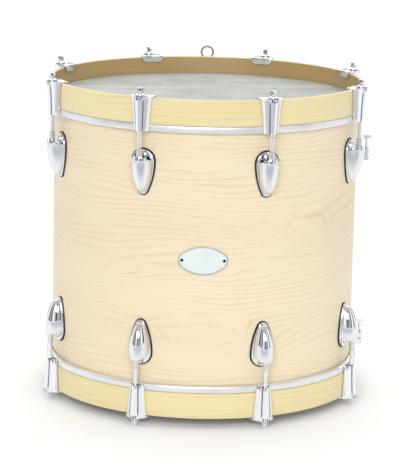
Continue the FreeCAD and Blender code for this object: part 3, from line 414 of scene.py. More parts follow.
def turned(profile, steps, closed=True):
    """Turns a profile of (radius, height) points about Z, as rings extruded one from the other.

    A closed profile makes a ring. An open one makes a solid, whose two ends are filled.
    """
    radius, height = profile[0]
    piece = settled(new_piece(bpy.ops.mesh.primitive_circle_add, vertices=steps, radius=radius,
                              location=(0, 0, height)))
    following = profile[1:] + profile[:1] if closed else profile[1:]
    with editing(piece, "EDGE"):
        for next_radius, next_height in following:
            rise = (0, 0, next_height - height)
            bpy.ops.mesh.extrude_edges_move(TRANSFORM_OT_translate={"value": rise})
            growth = next_radius / radius
            resized(growth, growth, 1)
            radius, height = next_radius, next_height
        if not closed:
            bpy.ops.mesh.select_all(action="SELECT")
            bpy.ops.mesh.fill_holes(sides=0)
    return merged(piece)


def finished(piece, name, paint, body, *replaced, slot=None):
    """Names a piece, paints it and hands it to the frame."""
    piece.name = piece.data.name = name
    piece.data.materials.clear()
    piece.data.materials.append(material(paint))
    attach(piece, body)
    if replaced:
        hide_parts(*replaced)
    return piece


# ---------------------------------------------------------------- shader maths


class Wire:
    """An output of a node. Python's operators on wires and numbers add Math nodes."""

    def __init__(self, shading, socket):
        self.shading = shading
        self.socket = socket

    def __add__(self, other):
        return self.shading.maths("ADD", self, other)

    def __sub__(self, other):
        return self.shading.maths("SUBTRACT", self, other)

    def __rsub__(self, other):
        return self.shading.maths("SUBTRACT", other, self)

    def __mul__(self, other):
        return self.shading.maths("MULTIPLY", self, other)

    def __truediv__(self, other):
        return self.shading.maths("DIVIDE", self, other)

    def __pow__(self, power):
        return self.shading.maths("POWER", self, power)

    def __abs__(self):
        return self.shading.maths("ABSOLUTE", self)

    __radd__ = __add__
    __rmul__ = __mul__


class Shading:
    """The nodes of a material or of the world."""

    def __init__(self, owner):
        owner.use_nodes = True
        self.tree = owner.node_tree

    def node(self, kind, settings=None, inputs=None, output=0):
        """A node of a kind, its settings first and then what its inputs are fed."""
        made = self.tree.nodes.new("ShaderNode" + kind)
        for name, setting in (settings or {}).items():
            setattr(made, name, setting)
        for socket, value in (inputs or {}).items():
            self.feed(made.inputs[socket], value)
        return Wire(self, made.outputs[output])

    def feed(self, socket, value):
        if isinstance(value, Wire):
            self.tree.links.new(value.socket, socket)
        else:
            socket.default_value = value

    def maths(self, operation, *terms):
        return self.node("Math", {"operation": operation}, dict(enumerate(terms)))

    def parts(self, vector):
        """The three numbers of a vector."""
        split = self.node("SeparateXYZ", inputs={0: vector}).socket.node
        return [Wire(self, output) for output in split.outputs]

    def point(self, x, y, z=0.0):
        return self.node("CombineXYZ", inputs={0: x, 1: y, 2: z})

    def noise(self, vector, scale=1.0, detail=2.0, roughness=0.5, distortion=0.0):
        return self.node("TexNoise", inputs={"Vector": vector, "Scale": scale, "Detail": detail,
                                             "Roughness": roughness, "Distortion": distortion})

    def step(self, value, low, high, to_low=0.0, to_high=1.0):
        """A smooth step: to_low below low, to_high above high."""
        return self.node("MapRange", {"interpolation_type": "SMOOTHSTEP"},
                         {"Value": value, "From Min": low, "From Max": high,
                          "To Min": to_low, "To Max": to_high})

    def mix(self, share, first, second):
        """Two colours mixed."""
        return self.node("Mix", {"data_type": "RGBA"},
                         {0: share, 6: first, 7: second}, output=2)

    def spotted(self, noise, low, high, share, ground, spots):
        """A screen colour, with up to a share of another where the noise is high."""
        return self.mix(self.step(noise, low, high, 0.0, share), linear(ground), linear(spots))

    def bump(self, height, depth):
        """A normal for a height between 0 and 1, given its depth in metres."""
        return self.node("Bump", inputs={"Strength": 1.0, "Distance": depth, "Height": height})


class Paint(Shading):
    """A new material."""

    def __init__(self, name):
        self.material = bpy.data.materials.new(name)
        super().__init__(self.material)
        self.place = self.node("TexCoord", output=3)

    def round_drum(self):
        """Metres along the shell from the front, height over the middle, radius."""
        x, y, z = self.parts(self.place)
        angle = self.maths("ARCTAN2", x, 0 - y)
        radius = self.maths("SQRT", x * x + y * y)
        return angle * SHELL_RADIUS, z - MIDDLE, radius

    def surface(self, sockets):
        """Feeds the shader's sockets and gives the finished material."""
        shader = self.tree.nodes["Principled BSDF"]
        for name, value in sockets.items():
            self.feed(shader.inputs[name], value)
        return self.material


def linear(colour):
    """A screen colour as the shader's own."""
    return tuple(c / 12.92 if c <= 0.04045 else ((c + 0.055) / 1.055) ** 2.4 for c in colour) + (1,)


def colour_of(name):
    return linear(getattr(bpy.context.scene.drum_colours, name))


# ---------------------------------------------------------------- finishes


def growth_lines(paint, along, up, reach, height, depth, spacing, swells=()):
    """Growth lines of sliced wood: wavy lines, closed into ovals where the figure swells.

    reach and height are the figure's size along and across the grain, and depth is how far it
    moves the lines, whose average spacing is given too. Each swell is a place along and up, its
    half length and half height, and how far it lifts the lines.
    """
    figure = paint.noise(paint.point(along / reach, up / height), detail=1.5, roughness=0.4)
    waver = paint.noise(paint.point(along / (reach * 0.14), up / (height * 0.3), 3.0), detail=2.0)
    level = up + (figure - 0.5) * depth + (waver - 0.5) * (depth * 0.09)
    for place_along, place_up, half_along, half_up, lift in swells:
        ahead = (along + (waver - 0.5) * 0.09 - place_along) / half_along
        above = (up + (figure - 0.5) * 0.012 - place_up) / half_up
        away = ahead * ahead + above * above
        level = level + lift * paint.maths("EXPONENT", 0 - away)
    saw = paint.maths("FRACT", level / spacing + 40)
    late = saw ** 5 * paint.step(saw, 0.9, 1.0, 1.0, 0.0)
    early = paint.step(saw, 0.25, 0.95) * 0.25
    patches = paint.noise(paint.point(along / (reach * 0.6), up / (height * 0.5), 7.0), detail=2.0)
    return (late + early) * paint.step(patches, 0.34, 0.66, 0.25, 1.0)


def wood_fibres(paint, along, up):
    """Short fine fibres along the grain."""
    return paint.noise(paint.point(along * 60, up * 1600), detail=2.0, roughness=0.6)


def shell_veneer(paint):
    """Satin-lacquered maple outside, bare inner ply, with the veneer's seam at the rear."""
    along, up, radius = paint.round_drum()
    swells = ((-0.01, -0.105, 0.085, 0.024, 0.05), (0.15, 0.03, 0.07, 0.02, 0.035),
              (-0.17, -0.02, 0.09, 0.022, 0.03), (0.62, 0.06, 0.12, 0.03, 0.05))
    lines = growth_lines(paint, along, up, 0.26, 0.058, 0.05, 0.0072, swells)
    fibres = wood_fibres(paint, along, up)
    tone = paint.noise(paint.point(along * 2.2, up * 9, 11.0), detail=3.0)
    pale = colour_of("veneer")
    grain = colour_of("veneer_grain")
    figure = paint.mix(lines * 0.5, pale, grain)
    toned = paint.mix(paint.step(tone, 0.35, 0.7, 0.0, 0.16), figure, grain)
    fibred = paint.mix(paint.step(fibres, 0.45, 0.75, 0.0, 0.14), toned, grain)
    outside = paint.step(radius, SHELL_RADIUS - 0.0015, SHELL_RADIUS - 0.001)
    colour = paint.mix(outside, colour_of("inner_ply"), fibred)
    relief = fibres * 0.5 + lines * 0.5
    return {
        "Base Color": colour,
        "Roughness": 0.42 + 0.12 * fibres,
        "Normal": paint.bump(relief, 0.00004),
        "Coat Weight": 0.25 * outside,
        "Coat Roughness": 0.22,
        "Specular IOR Level": 0.4,
    }


def hoop_lacquer(paint):
    """Yellow lacquered maple, its plies showing on the rim and a scarf joint at the rear."""
    along, up, radius = paint.round_drum()
    sizes = bpy.context.scene.drum_hoops
    level = abs(up)
    lines = growth_lines(paint, along, up, 0.2, 0.035, 0.028, 0.0062)
    fibres = wood_fibres(paint, along, up)
    tone = paint.noise(paint.point(along * 5, up * 14, 5.0), detail=2.0)
    lacquered = paint.mix(lines * 0.5, colour_of("hoop"), colour_of("hoop_grain"))
    toned = paint.mix(paint.step(tone, 0.35, 0.7, 0.0, 0.3), lacquered, colour_of("hoop_grain"))
    inner = HOOP_OUTER - sizes.wall
    # The inner face is painted darker and browner: partly its browner lacquer, partly painted shade
    # for a face that lies in the hoop's own shade.
    inside = paint.step(radius, inner + 0.0002, inner + 0.0005, 1.0, 0.0)
    faced = paint.mix(inside * 0.85, toned, colour_of("hoop_inside"))
    plies = paint.maths("FRACT", (radius - inner) / (sizes.wall / 5) + 0.5)
    glue = paint.step(abs(plies - 0.5), 0.0, 0.12, 1.0, 0.0)
    on_rim = paint.step(level, RIM - sizes.rim_round * 0.6, RIM - sizes.rim_round * 0.25)
    ply_edges = paint.mix(glue * on_rim * 0.7, faced, colour_of("ply_line"))
    x, y, _ = paint.parts(paint.place)
    scarf = abs(x - (up - (RIM + HOOP_SEAT) / 2) * 1.8)
    seam = paint.step(scarf, 0.0003, 0.0007, 1.0, 0.0) * paint.step(y, 0.0, 0.01)
    colour = paint.mix(seam * 0.6, ply_edges, colour_of("ply_line"))
    return {
        "Base Color": colour,
        "Roughness": 0.34 + 0.12 * fibres,
        "Normal": paint.bump(fibres * 0.4 + lines * 0.6, 0.00003),
        "Coat Weight": 0.6,
        "Coat Roughness": 0.12,
    }


def drum_skin(paint):
    """Cloudy film with the look of hide: soft patches and long crossing fibres."""
    clouds = paint.noise(paint.place, scale=14.0, detail=5.0, roughness=0.62, distortion=0.6)
    x, y, z = paint.parts(paint.place)
    streaks = paint.noise(paint.point(x * 9, y * 42, z * 9), detail=4.0, roughness=0.6)
    wisps = paint.noise(paint.point((x + y) * 70, (x - y) * 22, 2.0), detail=3.0, roughness=0.65)
    shade = clouds * 0.45 + streaks * 0.35 + wisps * 0.2
    colour = paint.mix(paint.step(shade, 0.4, 0.62), colour_of("skin"), colour_of("skin_cloud"))
    return {
        "Base Color": colour,
        "Roughness": 0.36 + 0.2 * shade,
        "Normal": paint.bump(wisps * 0.5 + clouds * 0.5, 0.00012),
        "Specular IOR Level": 0.15,
    }


def plated(paint, colour, roughness):
    """Plated metal: a faint waviness from casting and polishing, and fine wear in its gloss."""
    flow = paint.noise(paint.place, scale=130.0, detail=2.0)
    wear = paint.noise(paint.place, scale=900.0, detail=3.0, roughness=0.7)
    shade = paint.spotted(wear, 0.5, 0.75, 0.5, colour, [c * 0.9 for c in colour])
    return {
        "Base Color": shade,
        "Metallic": 1.0,
        "Roughness": roughness + roughness * 0.8 * wear,
        "Normal": paint.bump(flow, CAST_WAVES),
    }


def claw_chrome(paint):
    """Chrome, with painted shade along the two valleys of each claw, standing in for the shade in
    their creases.
    """
    sizes = bpy.context.scene.drum_claws
    x, y, z = paint.parts(paint.place)
    bearing = (paint.maths("ARCTAN2", y, x) - FIRST_ANGLE) * (PLACES / math.tau)
    off_centre = paint.maths("FRACT", bearing + (PLACES + 0.5)) - 0.5
    across = paint.maths("SINE", off_centre * (math.tau / PLACES))
    radius = paint.maths("SQRT", x * x + y * y)
    beside = abs(across * radius)
    share = (abs(z - MIDDLE) - CLAW_END) / (CLAW_TOP - CLAW_END)
    low = sizes.rib_half * sizes.end_half / sizes.half
    valley = low + (sizes.rib_half - low) * share
    # Painted shade: a dark line follows each valley of the claw's fluted front, outside the hoop
    # and below the claw's top.
    line = paint.step(abs(beside - valley), 0.0002, 0.0011, 1.0, 0.0)
    outside = paint.step(radius, HOOP_OUTER + 0.003, HOOP_OUTER + 0.004)
    below_top = paint.step(share, 0.82, 0.97, 1.0, 0.0)
    # This noise only varies how dark the painted valley shade is.
    wear = paint.noise(paint.place, scale=220.0, detail=3.0)
    dark = line * outside * below_top * (0.75 + 0.25 * wear)
    # The chrome turns dark grey under the painted valley shade, and its roughness rises there too.
    shade = paint.mix(dark, linear((0.93, 0.935, 0.95)), linear((0.3, 0.31, 0.34)))
    flow = paint.noise(paint.place, scale=130.0, detail=2.0)
    return {
        "Base Color": shade,
        "Metallic": 1.0,
        "Roughness": 0.05 + 0.3 * dark,
        "Normal": paint.bump(flow, CAST_WAVES),
    }


def aluminium(paint):
    """Rolled aluminium with fine lines along the hoop."""
    along, up, radius = paint.round_drum()
    brushing = paint.noise(paint.point(along * 25, up * 9000, radius * 9000), detail=2.0)
    smudges = paint.noise(paint.place, scale=45.0, detail=3.0)
    shade = paint.spotted(smudges, 0.45, 0.7, 0.5, (0.92, 0.922, 0.925), (0.86, 0.865, 0.87))
    return {
        "Base Color": shade,
        "Metallic": 1.0,
        "Roughness": 0.34 + 0.12 * brushing,
        "Normal": paint.bump(brushing, 0.000004),
    }


def rubber(paint):
    grit = paint.noise(paint.place, scale=2200.0, detail=2.0)
    dust = paint.noise(paint.place, scale=60.0, detail=3.0)
    colour = paint.mix(paint.step(dust, 0.4, 0.8, 0.0, 0.08), colour_of("rubber"),
                       linear((0.5, 0.48, 0.45)))
    return {
        "Base Color": colour,
        "Roughness": 0.6 + 0.2 * grit,
        "Normal": paint.bump(grit, 0.00003),
    }


def nylon(paint):
    haze = paint.noise(paint.place, scale=400.0, detail=3.0)
    colour = paint.mix(haze, linear((0.93, 0.92, 0.87)), linear((0.85, 0.84, 0.78)))
    return {
        "Base Color": colour,
        "Roughness": 0.45 + 0.1 * haze,
        "Normal": paint.bump(haze, 0.00001),
    }


def badge_enamel(paint):
    """Silver-white enamel, finely flaked and slightly cloudy."""
    flakes = paint.noise(paint.place, scale=3200.0, detail=1.0)
    cloud = paint.noise(paint.place, scale=60.0, detail=3.0)
    colour = paint.mix(paint.step(flakes, 0.55, 0.8, 0.0, 0.35), colour_of("badge"),
                       linear((0.75, 0.79, 0.8)))
    return {
        "Base Color": colour,
        "Metallic": 0.15 + 0.2 * cloud,
        "Roughness": 0.26 + 0.1 * flakes,
        "Coat Weight": 0.5,
        "Coat Roughness": 0.06,
    }


def dark_pin(paint):
    """Blackened pin heads of the badge, rubbed brighter in patches."""
    rub = paint.noise(paint.place, scale=700.0, detail=3.0)
    colour = paint.spotted(rub, 0.5, 0.8, 1.0, (0.13, 0.13, 0.14), (0.3, 0.3, 0.31))
    return {
        "Base Color": colour,
        "Metallic": 0.8,
        "Roughness": 0.3 + 0.15 * rub,
    }


def floor_paper(paint):
    """White paper, which turns to pale grey in front of the drum and glows faintly: painted light
    that lightens the drum's shadow on it.
    """
    x, y, _ = paint.parts(paint.place)
    mottle = paint.noise(paint.place, scale=3.0, detail=3.0)
    white = paint.mix(mottle, linear((0.985, 0.985, 0.985)), linear((0.975, 0.975, 0.977)))
    across, ahead = x / 1.9, (y + 2.3) / 2.0
    away = paint.step(across * across + ahead * ahead, 0.35, 1.05, 1.0, 0.0)
    colour = paint.mix(away, white, linear((0.71, 0.716, 0.722)))
    return {
        "Base Color": colour,
        "Roughness": 0.75,
        "Specular IOR Level": 0.2,
        # Painted light: the floor glows faintly in its own colour, though it is no lamp, so that
        # the shadow under the drum is lighter.
        "Emission Color": colour,
        "Emission Strength": 0.05,
    }


FINISHES = {
    "maple_shell": shell_veneer,
    "maple_hoop": hoop_lacquer,
    "skin": drum_skin,
    "aluminium": aluminium,
    "chrome": partial(plated, colour=(0.9, 0.91, 0.925), roughness=0.045),
    "claw_chrome": claw_chrome,
    "steel": partial(plated, colour=(0.78, 0.79, 0.8), roughness=0.22),
    "dull_steel": partial(plated, colour=(0.6, 0.6, 0.59), roughness=0.3),
    "brass": partial(plated, colour=(0.85, 0.85, 0.84), roughness=0.12),
    "rubber": rubber,
    "nylon": nylon,
    "badge_enamel": badge_enamel,
    "dark_pin": dark_pin,
    "floor_paper": floor_paper,
}


def material(name):
    """The finish of that name, made when it is first asked for."""
    known = bpy.data.materials.get("drum_" + name)
    if known:
        return known
    paint = Paint("drum_" + name)
    return paint.surface(FINISHES[name](paint))


def repaint(finish, *nodes):
    """Gives nodes of the construction model a finish."""
    for name in nodes:
        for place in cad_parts[name].material_slots:
            place.material = material(finish)


# ---------------------------------------------------------------- heads and hoops


class DRUM_OT_shell(bpy.types.Operator):
    """Finishes the shell, its badge and its vent."""

    bl_idname = "drum.shell"
    bl_label = "Shell, badge and vent"

    def execute(self, context):
        repaint("maple_shell", "shell")
        repaint("badge_enamel", "badge_plate")
        repaint("chrome", "badge_bezel", "vent_grommet")
        repaint("dark_pin", "badge_pins")
        return {"FINISHED"}


def skin_profile(sizes):
    """Film over the bearing edge, down the collar and out into the flesh hoop's channel."""
    inner = SHELL_RADIUS + sizes.collar_gap
    outer = inner + sizes.film
    bend = sizes.edge_round
    end = HOOP_OUTER - sizes.channel_gap
    foot = SKIN_END + sizes.film
    top = SKIN_TOP
    low = top - sizes.film
    over = arc((outer, top - bend), (outer - bend, top), bend, BEND_STEPS)[:-1]
    under = arc((inner, top - bend), (outer - bend, low), bend - sizes.film, BEND_STEPS)[:-1]
    rings = [0.01, SHELL_RADIUS * 0.35, SHELL_RADIUS * 0.7, outer - bend * 3]
    return ([(r, top) for r in rings] + [(outer - bend, top)] + over[::-1]
            + [(outer, top - bend), (outer, foot), (end, foot), (end, SKIN_END), (inner, SKIN_END),
               (inner, top - bend)] + under + [(outer - bend, low)]
            + [(r, low) for r in rings[::-1]])


class DRUM_OT_heads(bpy.types.Operator):
    """Models both skins with their collars."""

    bl_idname = "drum.heads"
    bl_label = "Heads"

    def execute(self, context):
        sizes = context.scene.drum_heads
        pattern = smoothed(turned(skin_profile(sizes), sizes.steps, closed=False))
        for side in SIDES:
            skin = copied(pattern, seat(side))
            finished(skin, side + "_head_film", "skin", "drum", side + "_skin")
        removed(pattern)
        return {"FINISHED"}


class DRUM_OT_hoops(bpy.types.Operator):
    """Models the counterhoops and the aluminium flesh hoops."""

    bl_idname = "drum.hoops"
    bl_label = "Counterhoops and flesh hoops"

    def execute(self, context):
        sizes = context.scene.drum_hoops
        wood = self.counterhoop(sizes)
        channel = self.flesh_hoop(sizes)
        for side in SIDES:
            finished(copied(wood, seat(side)), side + "_wood_hoop", "maple_hoop",
                     side + "_hoop_set", side + "_counterhoop")
            finished(copied(channel, seat(side)), side + "_channel_hoop", "aluminium",
                     "drum", side + "_flesh_hoop")
        removed(wood)
        removed(channel)
        return {"FINISHED"}

    def counterhoop(self, sizes):
        inner, outer = HOOP_OUTER - sizes.wall, HOOP_OUTER
        bend, ease = sizes.rim_round, sizes.seat_ease
        profile = [(inner + ease, HOOP_SEAT), (outer - ease, HOOP_SEAT)]
        profile += arc(profile[-1], (outer, HOOP_SEAT + ease), ease, 2)
        profile += [(outer, RIM - bend)]
        profile += arc(profile[-1], (outer - bend, RIM), bend, BEND_STEPS)
        profile += [(inner + bend, RIM)]
        profile += arc(profile[-1], (inner, RIM - bend), bend, BEND_STEPS)
        profile += [(inner, HOOP_SEAT + ease)]
        return smoothed(turned(profile, sizes.steps))

    def flesh_hoop(self, sizes):
        """A channel, open inwards, with rounded outer corners."""
        inner, outer, wall = SHELL_RADIUS + sizes.flesh_inner_gap, HOOP_OUTER, sizes.flesh_wall
        bend = sizes.flesh_round
        low, high = FLESH_END, HOOP_SEAT
        profile = [(inner, low), (outer - bend, low)]
        profile += arc(profile[-1], (outer, low + bend), bend, BEND_STEPS)
        profile += [(outer, high - bend)]
        profile += arc(profile[-1], (outer - bend, high), bend, BEND_STEPS)
        profile += [(inner, high), (inner, high - wall), (outer - bend, high - wall),
                    (outer - wall, high - bend), (outer - wall, low + bend),
                    (outer - bend, low + wall), (inner, low + wall)]
        return smoothed(turned(profile, sizes.steps))


# ---------------------------------------------------------------- claws


class DRUM_OT_claws(bpy.types.Operator):
    """Models the claw hooks: a fluted hollow body, a plate over the rim and a tongue inside it."""

    bl_idname = "drum.claws"
    bl_label = "Claws"

    def execute(self, context):
        sizes = context.scene.drum_claws
        pattern = joined([self.body(sizes, context.scene.drum_rods), self.hook(sizes)])
        smoothed(pattern, 40)
        for side in SIDES:
            ring = [copied(pattern, seat(side, number)) for number in range(1, PLACES + 1)]
            # The claws' finish carries painted shade along their valleys.
            finished(joined(ring), side + "_claw_hooks", "claw_chrome", side + "_hoop_set",
                     side + "_claws", slot="chrome")
        removed(pattern)
        return {"FINISHED"}

    def outline(self, sizes, inset):
        """Half cheek, middle rib and half cheek at the small end, from one back corner round."""
        shrink = sizes.end_half / sizes.half
        back = HOOP_OUTER + sizes.gap
        half = sizes.end_half - inset
        side_at = back + sizes.side * shrink - inset / 2
        crest = ROD_CIRCLE + sizes.end_crest - inset
        rib_half = sizes.rib_half * shrink - inset / 3
        rib_rise = max(sizes.rib_rise * shrink - inset / 2, LEAST_RIB)
        valley = crest - rib_rise
        rib_radius = (rib_half ** 2 + rib_rise ** 2) / (2 * rib_rise)
        right = [Vector((back, -half)), Vector((side_at, -half))]
        right += arc(right[-1], (valley, -rib_half), half * CHEEK, 7)
        right += arc(right[-1], (crest, 0), rib_radius, 6)
        return right + [Vector((p.x, -p.y)) for p in right[-2::-1]]

    def body(self, sizes, rods):
        outer, inner = self.outline(sizes, 0), self.outline(sizes, sizes.wall)
        count = len(outer) - 1
        piece = new_piece(bpy.ops.mesh.primitive_grid_add, x_subdivisions=count, y_subdivisions=1,
                          size=1)
        for vert in piece.data.vertices:
            line = inner if vert.co.y > 0 else outer
            point = line[round((vert.co.x + 0.5) * count)]
            vert.co = (point.x, point.y, CLAW_END)
        back = HOOP_OUTER + sizes.gap
        deep_top, deep_end = ROD_CIRCLE + sizes.crest - back, ROD_CIRCLE + sizes.end_crest - back
        roof_at = CLAW_TOP - sizes.roof
        levels = [CLAW_END + (roof_at - CLAW_END) * step / CLAW_LEVELS
                  for step in range(1, CLAW_LEVELS + 1)] + [CLAW_TOP]
        before, deep, wide = CLAW_END, deep_end, sizes.end_half
        with editing(piece, "FACE"):
            for level in levels:
                if level == CLAW_TOP:
                    self.roof_face(piece, roof_at)
                share = (level - CLAW_END) / (CLAW_TOP - CLAW_END)
                bow = 1 - sizes.waist * math.sin(math.pi * share) / sizes.half
                next_deep = (deep_end + (deep_top - deep_end) * share) * bow
                next_wide = (sizes.end_half + (sizes.half - sizes.end_half) * share) * bow
                pushed(z=level - before)
                resized(next_deep / deep, next_wide / wide, 1, (back, 0, 0))
                before, deep, wide = level, next_deep, next_wide
        bevelled(merged(piece), sizes.round, 3, 30)
        return drilled(piece, rods.radius + ROD_ROOM, sizes.roof * 3, (ROD_CIRCLE, 0, CLAW_TOP), 32)

    def roof_face(self, piece, roof_at):
        """Closes the hollow's top, so that the whole section is extruded from there on."""
        mesh = bmesh.from_edit_mesh(piece.data)
        top = [face for face in mesh.faces if within(face, 2, roof_at)]
        rim = [edge for edge in mesh.edges
               if within(edge, 2, roof_at) and sum(face in top for face in edge.link_faces) == 1]
        centre = Vector((ROD_CIRCLE, 0, roof_at))
        nearest = sorted(rim, key=lambda edge: (edge.verts[0].co - centre).length)
        bpy.ops.mesh.select_all(action="DESELECT")
        for edge in nearest[:len(rim) // 2]:
            edge.select_set(True)
        bmesh.update_edit_mesh(piece.data)
        bpy.ops.mesh.edge_face_add()
        pick(piece, "faces", lambda face: within(face, 2, roof_at))

    def hook(self, sizes):
        """The plate over the rim and the tongue that hangs inside it."""
        inner = HOOP_OUTER - bpy.context.scene.drum_hoops.wall - sizes.tongue_gap
        near, far = inner - sizes.tongue_thick, HOOP_OUTER + sizes.gap + sizes.wall
        corners = [(near, RIM - sizes.tongue_drop), (inner, RIM - sizes.tongue_drop), (inner, RIM),
                   (far, RIM), (far, CLAW_TOP), (near, CLAW_TOP)]
        piece = new_piece(bpy.ops.mesh.primitive_circle_add, vertices=len(corners),
                          fill_type="NGON")
        for vert, (x, z) in zip(piece.data.vertices, corners):
            vert.co = (x, -sizes.tongue_half, z)
        with editing(piece, "FACE"):
            pushed(y=2 * sizes.tongue_half)
        merged(piece)
        with editing(piece, "EDGE"):
            pick(piece, "edges", lambda edge: within(edge, 2, RIM - sizes.tongue_drop)
                 and (within(edge, 1, sizes.tongue_half) or within(edge, 1, -sizes.tongue_half)))
            bpy.ops.mesh.bevel(offset=sizes.tongue_round, segments=6, affect="EDGES")
            pick(piece, "edges", lambda edge: within(edge, 0, near) and within(edge, 2, CLAW_TOP))
            bpy.ops.mesh.bevel(offset=sizes.lip * 0.8, segments=5, affect="EDGES")
        return bevelled(piece, SHARP_EASE, 2, 30)


# ---------------------------------------------------------------- lugs


class DRUM_OT_lugs(bpy.types.Operator):
    """Models the egg-shaped lugs: floor, hollow dome, web for the nut and screw bosses."""

    bl_idname = "drum.lugs"
    bl_label = "Lugs"

    def execute(self, context):
        sizes = context.scene.drum_lugs
        self.floor_at = SHELL_RADIUS + sizes.gasket + sizes.flange
        self.widest = LUG_TOP - sizes.half
        self.depth = ROD_CIRCLE + sizes.cover - self.floor_at
        pattern = joined([self.floor(sizes), self.dome(sizes), self.web(sizes),
                          self.boss(sizes, sizes.high_screw, sizes.high_boss),
                          self.boss(sizes, -sizes.low_screw, sizes.low_boss)])
        smoothed(pattern, 35)
        set_round(pattern, "{}_egg_lug_{}", "chrome", "drum", "{}_lug_{}")
        return {"FINISHED"}

    def egg(self, sizes):
        """The floor's outline as (across, along) points: round above, narrow below."""
        half, tail = sizes.half, sizes.tail_round
        tail_at = LUG_TAIL + tail
        span = self.widest - tail_at
        side = (half ** 2 - tail ** 2 + span ** 2) / (2 * (half - tail))
        across = tail * (side - half) / (side - tail)
        along = tail_at - tail * span / (side - tail)
        points = [Vector((half, self.widest))]
        points += arc(points[-1], (0, LUG_TOP), half, EGG_END_STEPS)
        points += arc(points[-1], (-half, self.widest), half, EGG_END_STEPS)
        points += arc(points[-1], (-across, along), side, EGG_SIDE_STEPS)
        points += arc(points[-1], (across, along), tail, EGG_END_STEPS)
        return points + arc(points[-1], (half, self.widest), side, EGG_SIDE_STEPS)[:-1]

    def floor(self, sizes):
        """The flat egg that lies on the gasket, with a step in its rim and two screw holes."""
        outline = self.egg(sizes)
        piece = new_piece(bpy.ops.mesh.primitive_circle_add, vertices=len(outline),
                          fill_type="NGON")
        start = SHELL_RADIUS + sizes.gasket
        for vert, point in zip(piece.data.vertices, outline):
            vert.co = (start, point.x, point.y)
        with editing(piece, "FACE"):
            pushed(x=sizes.flange - sizes.step_rise)
            bpy.ops.mesh.inset(thickness=sizes.step_in)
            pushed(x=sizes.step_rise)
        merged(piece)

        def on_outline(edge):
            return all(any((vert.co.yz - corner).length < 1e-5 for corner in outline)
                       for vert in edge.verts)

        def on_wall(edge, x):
            return within(edge, 0, x) and any(abs(face.normal.x) < 0.5 for face in edge.link_faces)

        with editing(piece, "EDGE"):
            rim = self.floor_at - sizes.step_rise
            pick(piece, "edges", lambda edge: on_wall(edge, rim) and on_outline(edge))
            bpy.ops.mesh.bevel(offset=sizes.flange_ease, segments=4, affect="EDGES")
            pick(piece, "edges", lambda edge: on_wall(edge, self.floor_at))
            bpy.ops.mesh.bevel(offset=sizes.step_rise * 0.6, segments=2, affect="EDGES")
        for at in (sizes.high_screw, -sizes.low_screw):
            drilled(piece, sizes.screw_hole, 0.02, (start, 0, self.widest + at), 24, along_x=True)
        return piece

    def egg_ball(self, sizes, inset):
        """The dome's full ball: its tail below the widest place and its nose above."""
        piece = new_piece(bpy.ops.mesh.primitive_uv_sphere_add, segments=48, ring_count=40,
                          radius=1)
        tail = self.widest - LUG_TAIL - sizes.inset - inset
        nose = sizes.nose - inset
        with editing(piece, "VERT"):
            resized(self.depth - inset, sizes.half - sizes.inset - inset, 1)
            pick(piece, "verts", lambda vert: vert.co.z > 1e-4)
            resized(1, 1, nose)
            pick(piece, "verts", lambda vert: vert.co.z < -1e-4)
            resized(1, 1, tail)
            bpy.ops.mesh.select_all(action="SELECT")
            bpy.ops.transform.translate(value=(self.floor_at, 0, self.widest))
        return piece

    def dome(self, sizes):
        """The hollow egg, flat where it meets the floor and open in a slanted mouth."""
        piece = self.egg_ball(sizes, 0)
        slant = sizes.mouth_angle
        with editing(piece, "FACE"):
            sliced((self.floor_at - sizes.step_rise, 0, 0), (1, 0, 0), clear_inner=True)
            sliced((self.floor_at, 0, self.widest - sizes.mouth_setback),
                   (-math.sin(slant), 0, math.cos(slant)), clear_outer=True)
        modified(piece, "SOLIDIFY", thickness=sizes.wall, offset=-1, use_even_offset=True)
        return bevelled(merged(piece), sizes.lip_round, 3, 50)

    def web(self, sizes):
        """The wall across the dome, with the nut's hole."""
        piece = self.egg_ball(sizes, sizes.wall * 0.6)
        half = sizes.web / 2
        with editing(piece, "FACE"):
            sliced((self.floor_at, 0, 0), (1, 0, 0), clear_inner=True, use_fill=True)
            sliced((0, 0, self.widest + half), (0, 0, 1), clear_outer=True, use_fill=True)
            sliced((0, 0, self.widest - half), (0, 0, 1), clear_inner=True, use_fill=True)
        merged(piece)
        return drilled(piece, sizes.nut_hole, sizes.web * 3, (ROD_CIRCLE, 0, self.widest), 40)

    def boss(self, sizes, along, rise):
        """A ring that stands on the floor round a screw."""
        inner, outer = sizes.screw_hole, sizes.boss
        piece = turned([(inner, 0), (outer, 0), (outer, rise - EASE), (outer - EASE, rise),
                        (inner, rise)], 32)
        piece.matrix_world = (Matrix.Translation((self.floor_at, 0, self.widest + along))
                              @ Matrix.Rotation(math.pi / 2, 4, "Y"))
        return settled(piece)


# ---------------------------------------------------------------- tension rods


